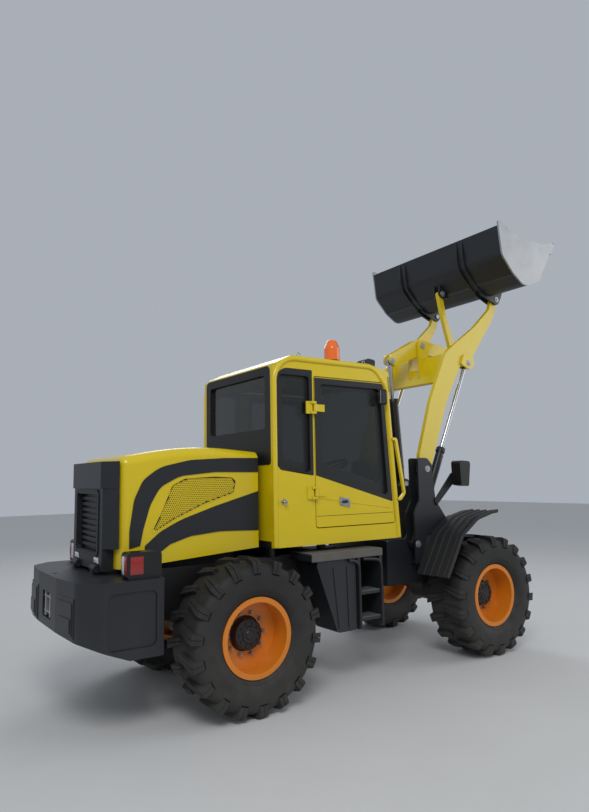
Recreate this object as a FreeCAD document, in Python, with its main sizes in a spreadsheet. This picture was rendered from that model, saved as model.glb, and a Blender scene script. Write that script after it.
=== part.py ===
import FreeCAD, Part
import math
import os
import re
from FreeCAD import Rotation, Vector

# Compact articulated wheel loader. Origin on the floor under the articulation pivot,
# +X forward, +Y left, +Z up. Lengths in millimetres, angles in degrees.
# Boom raised and bucket rolled back, as it is stored.

SIZES = [
    # name, value, meaning
    ("wheelbase", 2580, "front axle to rear axle"),
    ("wheel_track", 1420, "between the middles of the tyres"),
    ("tyre_radius", 540, "outside the lugs"),
    ("tyre_wide", 400, "across the bulge"),
    ("rim_radius", 280, "outside of the rim flange"),
    ("rim_seat", 255, "bead seat"),
    ("rim_wide", 330, "over the flanges"),
    ("rim_wall", 12, "rim metal"),
    ("hub_radius", 105, "wheel hub"),
    ("spindle_radius", 45, "axle end in the hub"),
    ("seat_gap", 0.4, "pieces seated on each other"),
    ("pin_gap", 0.08, "running fit of pins"),
    ("clear_gap", 6, "between moving neighbours"),
    ("tube_radius", 62, "axle tube"),
    ("drive_radius", 150, "differential housing"),
    ("frame_bottom", 650, "underside of both frames"),
    ("frame_top", 1020, "top of the rear frame"),
    ("frame_half", 420, "rear frame half width"),
    ("frame_wall", 30, "rear frame side plate"),
    ("frame_front", 270, "rear frame front face behind the pivot"),
    ("plate_thick", 20, "cross plates"),
    ("hinge_upper", 950, "middle of the upper articulation ear"),
    ("hinge_lower", 520, "middle of the lower articulation ear"),
    ("ear_thick", 40, "articulation ears"),
    ("ear_radius", 75, "articulation ear nose"),
    ("pivot_radius", 35, "articulation pins"),
    ("steer_level", 790, "middle of the steering cylinders"),
    ("steer_base_back", 620, "steering cylinder pin behind the pivot"),
    ("steer_base_side", 240, "the same, from the centreline"),
    ("steer_eye_front", 100, "steering rod eye in front of the pivot"),
    ("steer_eye_side", 285, "the same, from the centreline"),
    ("weight_front", 1930, "counterweight front face"),
    ("weight_back", 2510, "counterweight rear face"),
    ("weight_half", 730, "counterweight half width"),
    ("weight_top", 1000, "counterweight top"),
    ("weight_bottom", 500, "counterweight underside"),
    ("hitch_radius", 18, "tow pin hole"),
    ("hitch_back", 2455, "tow pin behind the pivot"),
    ("deck_half", 720, "outside of the steps"),
    ("deck_top", 1050, "top of the step deck"),
    ("cab_half", 600, "cab half width"),
    ("cab_wall", 45, "cab posts and walls"),
    ("cab_foot", 1110, "underside of the cab"),
    ("cab_floor_thick", 50, "cab floor"),
    ("cab_back", 965, "cab rear face"),
    ("cab_nose", 379, "cab front face at its foot"),
    ("cab_brow", 274, "cab front face under the roof"),
    ("roof_line", 2555, "underside of the roof"),
    ("roof_top", 2655, "top of the roof"),
    ("door_post", 565, "door hinge line behind the pivot"),
    ("door_sill", 1240, "bottom of the door opening"),
    ("door_head", 2500, "top of the door opening"),
    ("door_gap", 8, "door to its opening"),
    ("hinge_out", 20, "door hinge axis outside the cab side"),
    ("glass_thick", 6, "panes"),
    ("rail_thick", 24, "grab rails"),
    ("wheel_tilt", 24, "steering wheel, leaning to the driver"),
    ("wheel_ahead", 50, "steering wheel, in front of the pivot"),
    ("wheel_level", 584.5, "steering wheel, above the cab floor"),
    ("wheel_hub", 40, "steering wheel hub"),
    ("wheel_hub_under", 22, "steering wheel hub, below the spokes' middle"),
    ("hood_half", 450, "hood half width"),
    ("hood_wall", 25, "hood panels"),
    ("hood_nose", 1020, "hood front edge behind the pivot"),
    ("hood_back", 2150, "hood rear edge behind the pivot"),
    ("hood_rounding", 70, "long top edges of the hood"),
    ("trim_thick", 6, "bands on the hood sides"),
    ("housing_back", 2235, "radiator housing rear face"),
    ("housing_half", 345, "its half width at the rear"),
    ("hood_hinge_level", 1040, "hood hinge axis"),
    ("hood_hinge_back", 2240, "hood hinge axis behind the pivot"),
    ("chassis_half", 385, "front frame over its inner plates"),
    ("tower_half", 495, "front frame over its outer plates"),
    ("chassis_back", 400, "front frame rear end"),
    ("chassis_nose", 1460, "front frame front end"),
    ("boom_pivot_ahead", 860, "boom pivot"),
    ("boom_pivot_level", 1720, "boom pivot"),
    ("boom_pin_radius", 25, "boom pivot pins"),
    ("arm_middle", 430, "middle of a boom arm"),
    ("arm_thick", 42, "boom arm plate"),
    ("bracket_thick", 24, "ears beside the arms"),
    ("bucket_pin_ahead", 2060, "bucket pins"),
    ("bucket_pin_level", 3575, "bucket pins"),
    ("bucket_pin_radius", 25, "bucket pins"),
    ("bucket_wide", 1900, "bucket over its sides"),
    ("bucket_wall", 14, "bucket skin"),
    ("bucket_side", 18, "bucket side plates"),
    ("bucket_rolled", 57.7, "bucket floor above level, rolled back"),
    ("rocker_ahead", 1295, "rocker pivot"),
    ("rocker_level", 3047, "rocker pivot"),
    ("rocker_rod_ahead", 877, "tilt rod eye"),
    ("rocker_rod_level", 2849, "tilt rod eye"),
    ("rocker_link_ahead", 1880, "link eye on the rocker"),
    ("rocker_link_level", 3000, "link eye on the rocker"),
    ("rocker_inner", 28, "rocker plates, inner face from the centreline"),
    ("rocker_plate", 22, "rocker plates"),
    ("middle_bar", 44, "link and rod eyes on the centreline"),
    ("link_low", -105, "link pin on the bucket, along the bucket floor from the bucket pin"),
    ("link_high", 385, "link pin on the bucket, above the bucket pin"),
    ("link_eye", 46, "link eye at the rocker"),
    ("link_slim_eye", 34, "link eye at the bucket"),
    ("link_half", 30, "link bar half width"),
    ("link_bend", 25, "how far the link bends away from the bucket"),
    ("link_knee", 250, "the bend, from the link pin on the bucket"),
    ("link_pin_radius", 22, "pins of the rocker and the link"),
    ("tilt_base_ahead", 977.5, "tilt cylinder pin"),
    ("tilt_base_level", 1578.8, "tilt cylinder pin"),
    ("tilt_barrel_long", 880, "tilt cylinder barrel from its pin"),
    ("tilt_rod_long", 940, "tilt rod from its eye"),
    ("tilt_barrel_radius", 46, "tilt cylinder"),
    ("tilt_rod_radius", 25, "tilt cylinder rod"),
    ("lift_base_ahead", 700, "lift cylinder pins"),
    ("lift_base_level", 1020, "lift cylinder pins"),
    ("lift_eye_ahead", 1557, "lift rod eyes"),
    ("lift_eye_level", 2820, "lift rod eyes"),
    ("lift_barrel_long", 1005, "lift cylinder barrel from its pin"),
    ("lift_rod_long", 1030, "lift rods from their eyes"),
    ("lift_barrel_radius", 38, "lift cylinders"),
    ("lift_rod_radius", 22, "lift cylinder rods"),
    ("steer_barrel_radius", 28, "steering cylinders"),
    ("steer_rod_radius", 15, "steering cylinder rods"),
    ("steer_barrel_long", 470, "steering barrel from its pin"),
    ("steer_rod_long", 470, "steering rod from its eye"),
]

doc = FreeCAD.newDocument("WheelLoader")
sheet = doc.addObject("Spreadsheet::Sheet", "Sizes")
for row, (alias, number, meaning) in enumerate(SIZES, 1):
    sheet.set(f"A{row}", meaning)
    sheet.set(f"B{row}", str(number))
    sheet.setAlias(f"B{row}", alias)
doc.recompute()

ALIASES = re.compile(r"\b(" + "|".join(alias for alias, number, meaning in SIZES) + r")\b")
SIDE, PLAN, FRONT = "XZ_Plane", "XY_Plane", "YZ_Plane"
BOTH = (1, -1)
pieces = []


def bind(thing, place, formula):
    """Ties a property to the sheet; the formula uses the sheet's own names."""
    thing.setExpression(place, ALIASES.sub(r"Sizes.\1", str(formula)))


def piece(label):
    """A new piece of the machine, written to the file of that name."""
    body = doc.addObject("PartDesign::Body", label)
    body.Label = label
    body.AllowCompound = True
    pieces.append(body)
    return body


def stand(body, ahead="0", left="0", up="0"):
    """Moves a piece by formulas of the sheet."""
    bind(body, "Placement.Base.x", ahead)
    bind(body, "Placement.Base.y", left)
    bind(body, "Placement.Base.z", up)


def corner(before, here, after, radius):
    """Start, middle and end of the arc that rounds a corner."""
    back = (before - here).normalize()
    forth = (after - here).normalize()
    half = back.getAngle(forth) / 2
    reach = radius / math.tan(half)
    inward = (back + forth).normalize() * (radius / math.sin(half) - radius)
    return here + back * reach, here + inward, here + forth * reach


def draw(sketch, outline):
    """Draws a circle (x, y, radius) given as a dict, or a closed outline.

    An outline is a list of corners: (x, y) is sharp and (x, y, radius) is rounded."""
    if isinstance(outline, dict):
        middle = Vector(outline["x"], outline["y"], 0)
        sketch.addGeometry(Part.Circle(middle, Vector(0, 0, 1), outline["radius"]))
        return
    points = [Vector(spot[0], spot[1], 0) for spot in outline]
    turns = []
    for number, spot in enumerate(outline):
        here = points[number]
        if len(spot) == 3 and spot[2] > 0:
            turns.append(corner(points[number - 1], here, points[(number + 1) % len(points)], spot[2]))
        else:
            turns.append((here, None, here))
    for number, (start, middle, end) in enumerate(turns):
        if middle is not None:
            sketch.addGeometry(Part.Arc(start, middle, end))
        following = turns[(number + 1) % len(turns)][0]
        if (following - end).Length > 1e-4:
            sketch.addGeometry(Part.LineSegment(end, following))


def circle(x, y, radius):
    return {"x": x, "y": y, "radius": radius}


def box(x_low, x_high, y_low, y_high, radius=0):
    return [(x_low, y_low, radius), (x_high, y_low, radius), (x_high, y_high, radius), (x_low, y_high, radius)]


def inset(outline, distance):
    """The same convex outline with every side moved inwards, corners rounded to match."""
    count = len(outline)
    area = sum(outline[i - 1][0] * outline[i][1] - outline[i][0] * outline[i - 1][1] for i in range(count))
    turn = 1 if area > 0 else -1
    sides = []
    for number in range(count):
        start = Vector(*outline[number - 1][:2], 0)
        along = (Vector(*outline[number][:2], 0) - start).normalize()
        inward = Vector(-along.y, along.x, 0) * turn
        sides.append((start + inward * distance, along))
    moved = []
    for number in range(count):
        (first, one), (second, two) = sides[number], sides[(number + 1) % count]
        cross = one.x * two.y - one.y * two.x
        step = ((second.x - first.x) * two.y - (second.y - first.y) * two.x) / cross
        spot = first + one * step
        radius = outline[number][2] if len(outline[number]) == 3 else 0
        moved.append((spot.x, spot.y, max(radius - distance, 0)))
    return moved


def sketch_on(body, plane, outlines, level):
    """A sketch parallel to one of the piece's own planes, at a level along that plane's axis."""
    sketch = body.newObject("Sketcher::SketchObject", f"{body.Name}_sketch")
    datum = [item for item in body.Origin.OriginFeatures if item.Role == plane][0]
    sketch.AttachmentSupport = [(datum, "")]
    sketch.MapMode = "FlatFace"
    bind(sketch, "AttachmentOffset.Base.z", f"-({level})" if plane == SIDE else level)
    for outline in outlines:
        draw(sketch, outline)
    return sketch


def pad(body, plane, outlines, low, high):
    """Adds metal between two levels along the axis that the plane faces."""
    feature = body.newObject("PartDesign::Pad", f"{body.Name}_pad")
    feature.Profile = sketch_on(body, plane, outlines, low)
    bind(feature, "Length", f"({high}) - ({low})")
    feature.Reversed = plane == SIDE
    doc.recompute()
    return feature


def cut(body, plane, outlines, low, high):
    """Takes metal away between two levels."""
    before = body.Shape.Volume
    feature = body.newObject("PartDesign::Pocket", f"{body.Name}_pocket")
    feature.Profile = sketch_on(body, plane, outlines, low)
    bind(feature, "Length", f"({high}) - ({low})")
    feature.Reversed = plane != SIDE
    doc.recompute()
    if body.Shape.Volume > before - 1:
        raise ValueError(f"{feature.Label} cuts nothing")
    return feature


def turned(body, plane, outlines, level="0", axis="V_Axis"):
    """Adds a turned form: the outlines go round the sketch's upright or level axis."""
    feature = body.newObject("PartDesign::Revolution", f"{body.Name}_turned")
    sketch = sketch_on(body, plane, outlines, level)
    feature.Profile = sketch
    feature.ReferenceAxis = (sketch, [axis])
    feature.Angle = 360
    doc.recompute()
    return feature


def span(side, near, far):
    """Two distances from the centreline as levels, on the left (1) or the right (-1)."""
    return (near, far) if side > 0 else (f"-({far})", f"-({near})")


def pad_pair(body, outlines, near, far):
    for side in BOTH:
        pad(body, SIDE, outlines, *span(side, near, far))


def cut_pair(body, outlines, near, far):
    for side in BOTH:
        cut(body, SIDE, outlines, *span(side, near, far))


# Wheels

def tyre_outline():
    """Section (radius, across) of the tyre, bead to bead."""
    bead = sheet.rim_seat + sheet.seat_gap
    inner = sheet.rim_wide / 2 - sheet.rim_wall - sheet.seat_gap
    casing = sheet.tyre_radius
    half = sheet.tyre_wide / 2
    upper = [
        (bead, inner),
        (sheet.rim_radius + 2, inner),
        (sheet.rim_radius + 22, half - 24),
        (sheet.rim_radius + 90, half - 2),
        (casing - 100, half),
        (casing - 42, half - 10),
        (casing, half - 40),
    ]
    return upper + [(radius, -across) for radius, across in reversed(upper)]


def rim_outline(side):
    """Section of the rim: flanges, barrel, dished disc and hub; the dish opens outwards."""
    half = sheet.rim_wide / 2
    barrel = sheet.rim_seat - sheet.rim_wall
    bore = sheet.spindle_radius + sheet.pin_gap
    hub = sheet.hub_radius
    outline = [
        (sheet.rim_radius, half),
        (sheet.rim_radius, half - sheet.rim_wall),
        (sheet.rim_seat, half - sheet.rim_wall),
        (sheet.rim_seat, sheet.rim_wall - half),
        (sheet.rim_radius, sheet.rim_wall - half),
        (sheet.rim_radius, -half),
        (barrel, -half),
        (barrel, -28),
        (hub + 15, -44),
        (bore, -44),
        (bore, 36),
        (hub - 10, 36),
        (hub, 26),
        (hub, -20),
        (hub + 15, -26),
        (barrel, -10),
        (barrel, half),
    ]
    return [(radius, side * across) for radius, across in outline]


def wheels():
    for end, ahead in (("front", 1), ("rear", -1)):
        for name, side in (("left", 1), ("right", -1)):
            tyre = piece(f"tyre_{end}_{name}")
            turned(tyre, PLAN, [tyre_outline()])
            rim = piece(f"rim_{end}_{name}")
            turned(rim, PLAN, [rim_outline(side)])
            for body in (tyre, rim):
                stand(body, f"{ahead} * wheelbase / 2", f"{side} * wheel_track / 2", "tyre_radius")


def axle(label, ahead):
    """Axle beam with its differential housing and the spindles that the hubs turn on."""
    body = piece(label)
    tube, drive, spindle = sheet.tube_radius, sheet.drive_radius, sheet.spindle_radius
    shoulder = sheet.wheel_track / 2 - 44 - sheet.clear_gap
    tip = sheet.wheel_track / 2 + 30
    half = [
        (spindle, tip),
        (spindle, shoulder),
        (spindle + 50, shoulder),
        (spindle + 50, shoulder - 30),
        (tube, shoulder - 50),
        (tube, 230),
        (tube + 38, 200),
        (drive, 90),
    ]
    outline = [(0, tip)] + half + [(radius, -across) for radius, across in reversed(half)] + [(0, -tip)]
    turned(body, PLAN, [outline])
    stand(body, f"{ahead} * wheelbase / 2", "0", "tyre_radius")
    return body


def front_axle():
    body = axle("front_axle", 1)
    height = sheet.frame_bottom - sheet.tyre_radius
    pad_pair(body, [box(-80, 80, 0, height)], "chassis_half - 70", "chassis_half")


def rear_axle():
    body = axle("rear_axle", -1)
    pad(body, FRONT, [circle(0, 0, 40 - sheet.pin_gap)], "-270", "270")


# Rear half

def rear_frame():
    body = piece("rear_frame")
    back, front = -sheet.weight_front, -sheet.frame_front
    top, bottom = sheet.frame_top, sheet.frame_bottom
    low = sheet.hinge_lower - 70
    pad_pair(body, [[(back, bottom), (back, top), (front, top), (front, low), (front - 350, low, 40),
                     (front - 490, bottom, 60)]], "frame_half - frame_wall", "frame_half")
    inner = sheet.frame_half - sheet.frame_wall
    pad(body, FRONT, [box(-inner, inner, low, top)], "-frame_front - frame_wall", "-frame_front")
    pad(body, FRONT, [box(-inner, inner, bottom, top)], "-weight_front", "plate_thick - weight_front")
    pad(body, PLAN, [box(back, front, -inner, inner)], "frame_bottom + 50", "frame_bottom + 50 + plate_thick")
    pad_pair(body, [box(-1100, front, top - sheet.plate_thick, top)], "frame_half - 90", "frame_half - frame_wall")
    # Windows for the steering cylinders, centred on their lines.
    slope = (sheet.steer_eye_side - sheet.steer_base_side) / (sheet.steer_base_back + sheet.steer_eye_front)
    for side in BOTH:
        middle = side * (sheet.steer_base_side + slope * (sheet.steer_base_back - sheet.frame_front))
        cut(body, FRONT, [box(middle - 85, middle + 85, sheet.steer_level - 45, sheet.steer_level + 45, 30)],
            "-frame_front - frame_wall - 1", "1 - frame_front")
    nose = sheet.ear_radius
    ear = [(front - 10, -nose - 60), (front - 10, nose + 60), (nose, nose, nose * 0.95), (nose, -nose, nose * 0.95)]
    for level in ("hinge_upper", "hinge_lower"):
        near, far = "ear_thick / 2 + clear_gap", "ear_thick * 1.45 + clear_gap"
        pad(body, PLAN, [ear], f"{level} + {near}", f"{level} + {far}")
        pad(body, PLAN, [ear], f"{level} - ({far})", f"{level} - ({near})")
        pad(body, PLAN, [circle(0, 0, sheet.pivot_radius)], f"{level} - ({far})", f"{level} + {far}")
    for ahead in (-240, 240):
        middle = -sheet.wheelbase / 2 + ahead
        hanger = [(-150, bottom + 50), (150, bottom + 50), (90, 470, 60), (-90, 470, 60)]
        pad(body, FRONT, [hanger, circle(0, sheet.tyre_radius, 40)], middle - 20, middle + 20)
    for side in BOTH:
        steer_ears(body, side, -sheet.steer_base_back, sheet.steer_base_side, inner, True)
    return body


def steer_ears(body, side, ahead, aside, root, pinned):
    """Two level ears round a steering cylinder eye, from the side plate at root inwards."""
    tip = aside - 35
    ear = [(ahead - 60, side * root), (ahead - 35, side * tip, 34), (ahead + 35, side * tip, 34),
           (ahead + 60, side * root)]
    for low, high in (("10", "26"), ("-26", "-10")):
        pad(body, PLAN, [ear], f"steer_level + {low}", f"steer_level + {high}")
    if pinned:
        pad(body, PLAN, [circle(ahead, side * aside, 18)], "steer_level - 26", "steer_level + 26")


def engine_block():
    """One plain block on the frame's bed plate."""
    body = piece("engine_block")
    pad(body, SIDE, [[(-1890, 0), (-1890, 700, 60), (-1820, 860, 60), (-1300, 860, 60), (-1160, 640, 60), (-1160, 0)]],
        "-290", "290")
    stand(body, "0", "0", "frame_bottom + 50 + plate_thick")
    return body


def counterweight():
    body = piece("counterweight")
    front, back, half = -sheet.weight_front, -sheet.weight_back, sheet.weight_half
    side = [(front, half - 5), (back + 180, half, 70), (back + 35, half - 140, 120), (back, half - 480, 400)]
    plan = side + [(spot[0], -spot[1], *spot[2:]) for spot in reversed(side)]
    pad(body, PLAN, [plan], "weight_bottom", "weight_top")
    low = sheet.weight_bottom
    cut(body, SIDE, [[(back + 360, low - 5), (back - 90, low - 5), (back - 90, low + 180), (back, low + 140)]],
        "-weight_half - 10", "weight_half + 10")
    cut(body, FRONT, [box(-120, 120, 700, 880, 20)], "-weight_back - 60", "110 - weight_back")
    cut(body, PLAN, [circle(-sheet.hitch_back, 0, sheet.hitch_radius)], "weight_bottom", "weight_top + 5")
    cut_pair(body, [box(back + 200, front - 50, 570, 930, 40)], "weight_half - 16", "weight_half + 10")
    level = sheet.hood_hinge_level
    hinge = -sheet.hood_hinge_back
    pad_pair(body, [[(hinge - 28, sheet.weight_top), (hinge + 28, sheet.weight_top), (hinge + 28, level + 28, 27),
                     (hinge - 28, level + 28, 27)]], "200", "240")
    pad_pair(body, [circle(hinge, level, 15)], "170", "270")
    return body


def tail_lamps():
    body = piece("tail_lamps")
    low = sheet.weight_top
    pad_pair(body, [box(-2170, -1930, low, low + 175, 24)], "weight_half - 170", "weight_half - 50")
    return body


def side_steps():
    """Step decks, the boxes under them and the ladders, on both sides of the frame."""
    body = piece("side_steps")
    top = sheet.deck_top
    pad_pair(body, [box(-700, 40, top - 60, top, 10)], "frame_half", "deck_half")
    pad_pair(body, [[(-640, top - 60), (-640, top - 104), (-447, 420, 30), (-250, 420, 20), (-250, top - 60)]],
             "frame_half", "deck_half - 10")
    pad_pair(body, [box(-250, 20, 420, top - 60)], "frame_half", "frame_half + 20")
    for ahead in (-235, 5):
        pad_pair(body, [box(ahead, ahead + 30, 420, top - 60)], "frame_half + 20", "deck_half")
    for level in (480, 690):
        pad_pair(body, [box(-205, 5, level, level + 25)], "deck_half - 160", "deck_half")
    return body


def cab_front_at(level):
    """How far ahead the slanted cab front is at a level."""
    rise = (level - sheet.cab_foot) / (sheet.roof_line - sheet.cab_foot)
    return sheet.cab_nose + (sheet.cab_brow - sheet.cab_nose) * rise


def door_opening():
    sill, head = sheet.door_sill, sheet.door_head
    post = sheet.cab_wall + 5
    return [(-sheet.door_post, sill, 30), (cab_front_at(sill) - post, sill, 30),
            (cab_front_at(head) - post, head, 30), (-sheet.door_post, head, 30)]


def quarter_window():
    return [(-sheet.door_post - 35, 1685, 40), (-sheet.door_post - 35, sheet.door_head, 40),
            (-sheet.cab_back + sheet.cab_wall, sheet.door_head, 40), (-sheet.cab_back + sheet.cab_wall, 1720, 40)]


def rear_window():
    half = sheet.cab_half - sheet.cab_wall - 65
    return box(-half, half, 2040, sheet.door_head, 40)


def front_window():
    half = sheet.cab_half - sheet.cab_wall - 50
    return box(-half, half, 1330, sheet.door_head, 50)


def front_strip(low, high, near, far):
    """Slanted strip behind the cab's front face, between two levels and two depths."""
    return [(cab_front_at(low) - near, low), (cab_front_at(high) - near, high),
            (cab_front_at(high) - far, high), (cab_front_at(low) - far, low)]


def cab():
    foot, line = sheet.cab_foot, sheet.roof_line
    floor_top = foot + sheet.cab_floor_thick
    back, wall = -sheet.cab_back, sheet.cab_wall

    floor = piece("cab_floor")
    pad(floor, SIDE, [[(back, foot), (back, floor_top), (cab_front_at(floor_top), floor_top), (sheet.cab_nose, foot)]],
        "cab_wall - cab_half", "cab_half - cab_wall")
    mid = sheet.frame_half - 45
    pad(floor, PLAN, [circle(ahead, side * mid, 40) for ahead in (-860, -350) for side in BOTH],
        "frame_top", "cab_foot")

    sides = piece("cab_sides")
    outline = [(sheet.cab_nose, foot), (sheet.cab_brow, line), (back, line), (back, foot)]
    pad_pair(sides, [outline, door_opening(), quarter_window()], "cab_half - cab_wall", "cab_half")
    axis = -sheet.door_post
    for side in BOTH:
        y = side * (sheet.cab_half + sheet.hinge_out)
        edge = side * sheet.cab_half
        for level in (1500, 2200):
            strap = [(axis - 80, edge), (axis - 25, edge), (axis - 25, edge + side * 19), (axis - 80, edge + side * 8)]
            lug = [(axis - 45, edge), (axis - 10, y - side * 14), (axis + 14, y - side * 14, 13),
                   (axis + 14, y + side * 14, 13), (axis - 45, y + side * 10)]
            pad(sides, PLAN, [strap], level - 22, level + 82)
            pad(sides, PLAN, [lug], level - 22, level - 2)
            pad(sides, PLAN, [lug], level + 62, level + 82)
            pad(sides, PLAN, [circle(axis, y, 8)], level - 22, level + 82)

    rear = piece("cab_rear")
    half = sheet.cab_half - wall
    pad(rear, FRONT, [box(-half, half, floor_top, line), rear_window()], "-cab_back", "cab_wall - cab_back")

    front = piece("cab_front")
    pad(front, SIDE, [front_strip(floor_top, line, 0, wall)], "cab_wall - cab_half", "cab_half - cab_wall")
    cut(front, FRONT, [front_window()], "cab_brow - 90", "cab_nose + 50")

    roof = piece("cab_roof")
    top = sheet.roof_top
    pad(roof, SIDE, [[(sheet.cab_brow + 26, line), (sheet.cab_brow + 14, line + 46, 12), (61, top, 90),
                      (back + 180, top, 40), (back + 35, top - 70, 30), (back + 35, line)]], "-cab_half", "cab_half")

    glass = piece("cab_glass")
    gap, thick = sheet.seat_gap, sheet.glass_thick
    pane = inset(front_window(), gap)
    low, high = pane[0][1], pane[2][1]
    pad(glass, SIDE, [front_strip(low, high, 20, 20 + thick)], pane[0][0], pane[1][0])
    around = box(-sheet.cab_half, sheet.cab_half, low - 50, high + 50)
    cut(glass, FRONT, [around, pane], "cab_brow - 90", "cab_nose + 50")
    pad(glass, FRONT, [inset(rear_window(), gap)], "25 - cab_back", "25 + glass_thick - cab_back")
    pad_pair(glass, [inset(quarter_window(), gap)], "cab_half - 25 - glass_thick", "cab_half - 25")


def doors():
    opening = inset(door_opening(), sheet.door_gap)
    frame = 48
    low_rear, low_front, high_front, high_rear = inset(opening, frame)
    window = [(low_rear[0], 1690, 40), (low_front[0] - 8, 1475, 40), (*high_front[:2], 50), (*high_rear[:2], 50)]
    axis = -sheet.door_post
    for name, side in (("left", 1), ("right", -1)):
        door = piece(f"door_{name}")
        pad(door, SIDE, [opening, window], *span(side, "cab_half - cab_wall", "cab_half"))
        y = side * (sheet.cab_half + sheet.hinge_out)
        edge = side * sheet.cab_half
        for level in (1500, 2200):
            leaf = [(axis + 14, edge), (axis + 110, edge), (axis + 110, edge + side * 8), (axis + 40, edge + side * 8),
                    (axis + 14, y + side * 10), (axis, y + side * 13.5, 5), (axis, y - side * 10)]
            pad(door, PLAN, [leaf], level, level + 60)
            pad(door, PLAN, [circle(axis, y, 14)], level, level + 60)
            cut(door, PLAN, [circle(axis, y, 8 + sheet.pin_gap)], level - 1, level + 61)
        glass = piece(f"door_glass_{name}")
        pad(glass, SIDE, [inset(window, sheet.seat_gap)],
            *span(side, "cab_half - 25 - glass_thick", "cab_half - 25"))


def seat():
    body = piece("seat")
    floor = sheet.cab_foot + sheet.cab_floor_thick
    pad(body, SIDE, [box(-680, -330, floor, floor + 220, 30)], "-170", "170")
    pad(body, SIDE, [[(-760, floor + 220, 30), (-230, floor + 220, 40), (-225, floor + 330, 45),
                      (-640, floor + 300, 40), (-740, floor + 880, 50), (-830, floor + 880, 40)]], "-240", "240")
    return body


def controls():
    """Steering column, pedals and the lever console beside the seat."""
    body = piece("controls")
    floor = sheet.cab_foot + sheet.cab_floor_thick
    hub = sheet.wheel_hub
    lean = math.radians(sheet.wheel_tilt)
    upward = Vector(-math.sin(lean), math.cos(lean), 0)
    top = Vector(sheet.wheel_ahead, floor + sheet.wheel_level, 0) - upward * (sheet.wheel_hub_under + sheet.seat_gap)
    ahead = Vector(upward.y, -upward.x, 0) * hub
    column = [(110, floor), (230, floor), ((top + ahead).x, (top + ahead).y), ((top - ahead).x, (top - ahead).y)]
    pad(body, SIDE, [column], "-45", "45")
    pad(body, SIDE, [[(-560, floor), (-200, floor), (-180, floor + 380, 30), (-540, floor + 420, 30)]], "-370", "-270")
    pad_pair(body, [[(180, floor), (230, floor), (200, floor + 130, 6), (170, floor + 120, 6)]], "110", "170")
    pad(body, PLAN, [circle(-260, -320, 9)], floor + 300, floor + 560)
    pad(body, PLAN, [circle(-260, -320, 24)], floor + 540, floor + 600)
    wheel = piece("steering_wheel")
    turned(wheel, SIDE, [circle(175, 0, 14), [(0, -sheet.wheel_hub_under), (hub, -sheet.wheel_hub_under), (hub, 12, 6), (0, 16)]])
    for angle in (90, 210, 330):
        spoke = Vector(math.cos(math.radians(angle)), math.sin(math.radians(angle)), 0)
        across = Vector(-spoke.y, spoke.x, 0) * 14
        start, end = spoke * 30, spoke * 172
        spots = [start - across, end - across, end + across, start + across]
        pad(wheel, PLAN, [[(spot.x, spot.y) for spot in spots]], "-6", "4")
    wheel.Placement.Rotation = Rotation(Vector(0, 1, 0), -sheet.wheel_tilt)
    stand(wheel, "wheel_ahead", "0", "cab_foot + cab_floor_thick + wheel_level")


def beacon():
    body = piece("beacon")
    turned(body, SIDE, [[(0, 0), (52, 0), (52, 34), (70, 40), (70, 150, 30), (40, 222, 20), (0, 225)]])
    stand(body, "-200", "-400", "roof_top")
    return body


def work_lamps():
    """Two lamps on the front edge of the roof."""
    body = piece("work_lamps")
    slope = (sheet.roof_line + 46 - sheet.roof_top) / (sheet.cab_brow + 14 - 61)
    level = [sheet.roof_top + slope * (ahead - 61) for ahead in (110, 225)]
    outline = [(110, level[0]), (225, level[1]), (235, sheet.roof_top + 70, 20), (130, sheet.roof_top + 80, 30)]
    pad_pair(body, [outline], "cab_half - 240", "cab_half - 110")
    return body


def grab_rails():
    """Bent grab rails beside the windscreen, each end standing off the front post."""
    body = piece("grab_rails")
    band = sheet.rail_thick
    outline = [(cab_front_at(2000) - 30, 2000, 8), (cab_front_at(2000) + 26, 2000, 30), (425, 1500, 45),
               (cab_front_at(1440) + 10, 1440, 30), (cab_front_at(1440) - 24, 1440, 8),
               (cab_front_at(1440) - 24, 1440 + band, 4), (cab_front_at(1440) + 2, 1440 + band, 20),
               (425 - band, 1505, 25), (cab_front_at(2000) + 2, 2000 - band, 12), (cab_front_at(2000) - 30, 2000 - band, 4)]
    pad_pair(body, [outline], "cab_half + 12", "cab_half + 12 + rail_thick")
    for low in (1440, 2000 - band):
        foot = cab_front_at(low)
        pad_pair(body, [box(foot - 28, foot - 4, low, low + band)], "cab_half", "cab_half + 14")
    return body


# Hood

HOOD_BAND = [(-1022, 1817), (-1318, 1815), (-1614, 1799, 400), (-1852, 1747, 300), (-1980, 1655, 150),
             (-2045, 1516, 200), (-2077, 1300, 200), (-2077, 1179),
             (-1998, 1195), (-1977, 1303, 300), (-1926, 1477, 300), (-1851, 1603, 150), (-1695, 1681, 250),
             (-1405, 1708, 400), (-1022, 1705)]
HOOD_SKIRT = [(-1022, 1554), (-1405, 1450, 900), (-1693, 1359, 900), (-1849, 1282, 200), (-1961, 1191),
              (-1965, 1140), (-1847, 1140), (-1771, 1191, 60), (-1613, 1238, 200), (-1363, 1260, 900), (-1022, 1248)]
HOOD_MESH = [(-1924, 1262, 20), (-1827, 1451, 300), (-1758, 1616, 60), (-1655, 1664, 80), (-1405, 1676, 300),
             (-1257, 1668, 30), (-1221, 1636, 20), (-1240, 1545, 20), (-1490, 1470, 400), (-1733, 1366, 300),
             (-1870, 1292, 60)]


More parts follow.
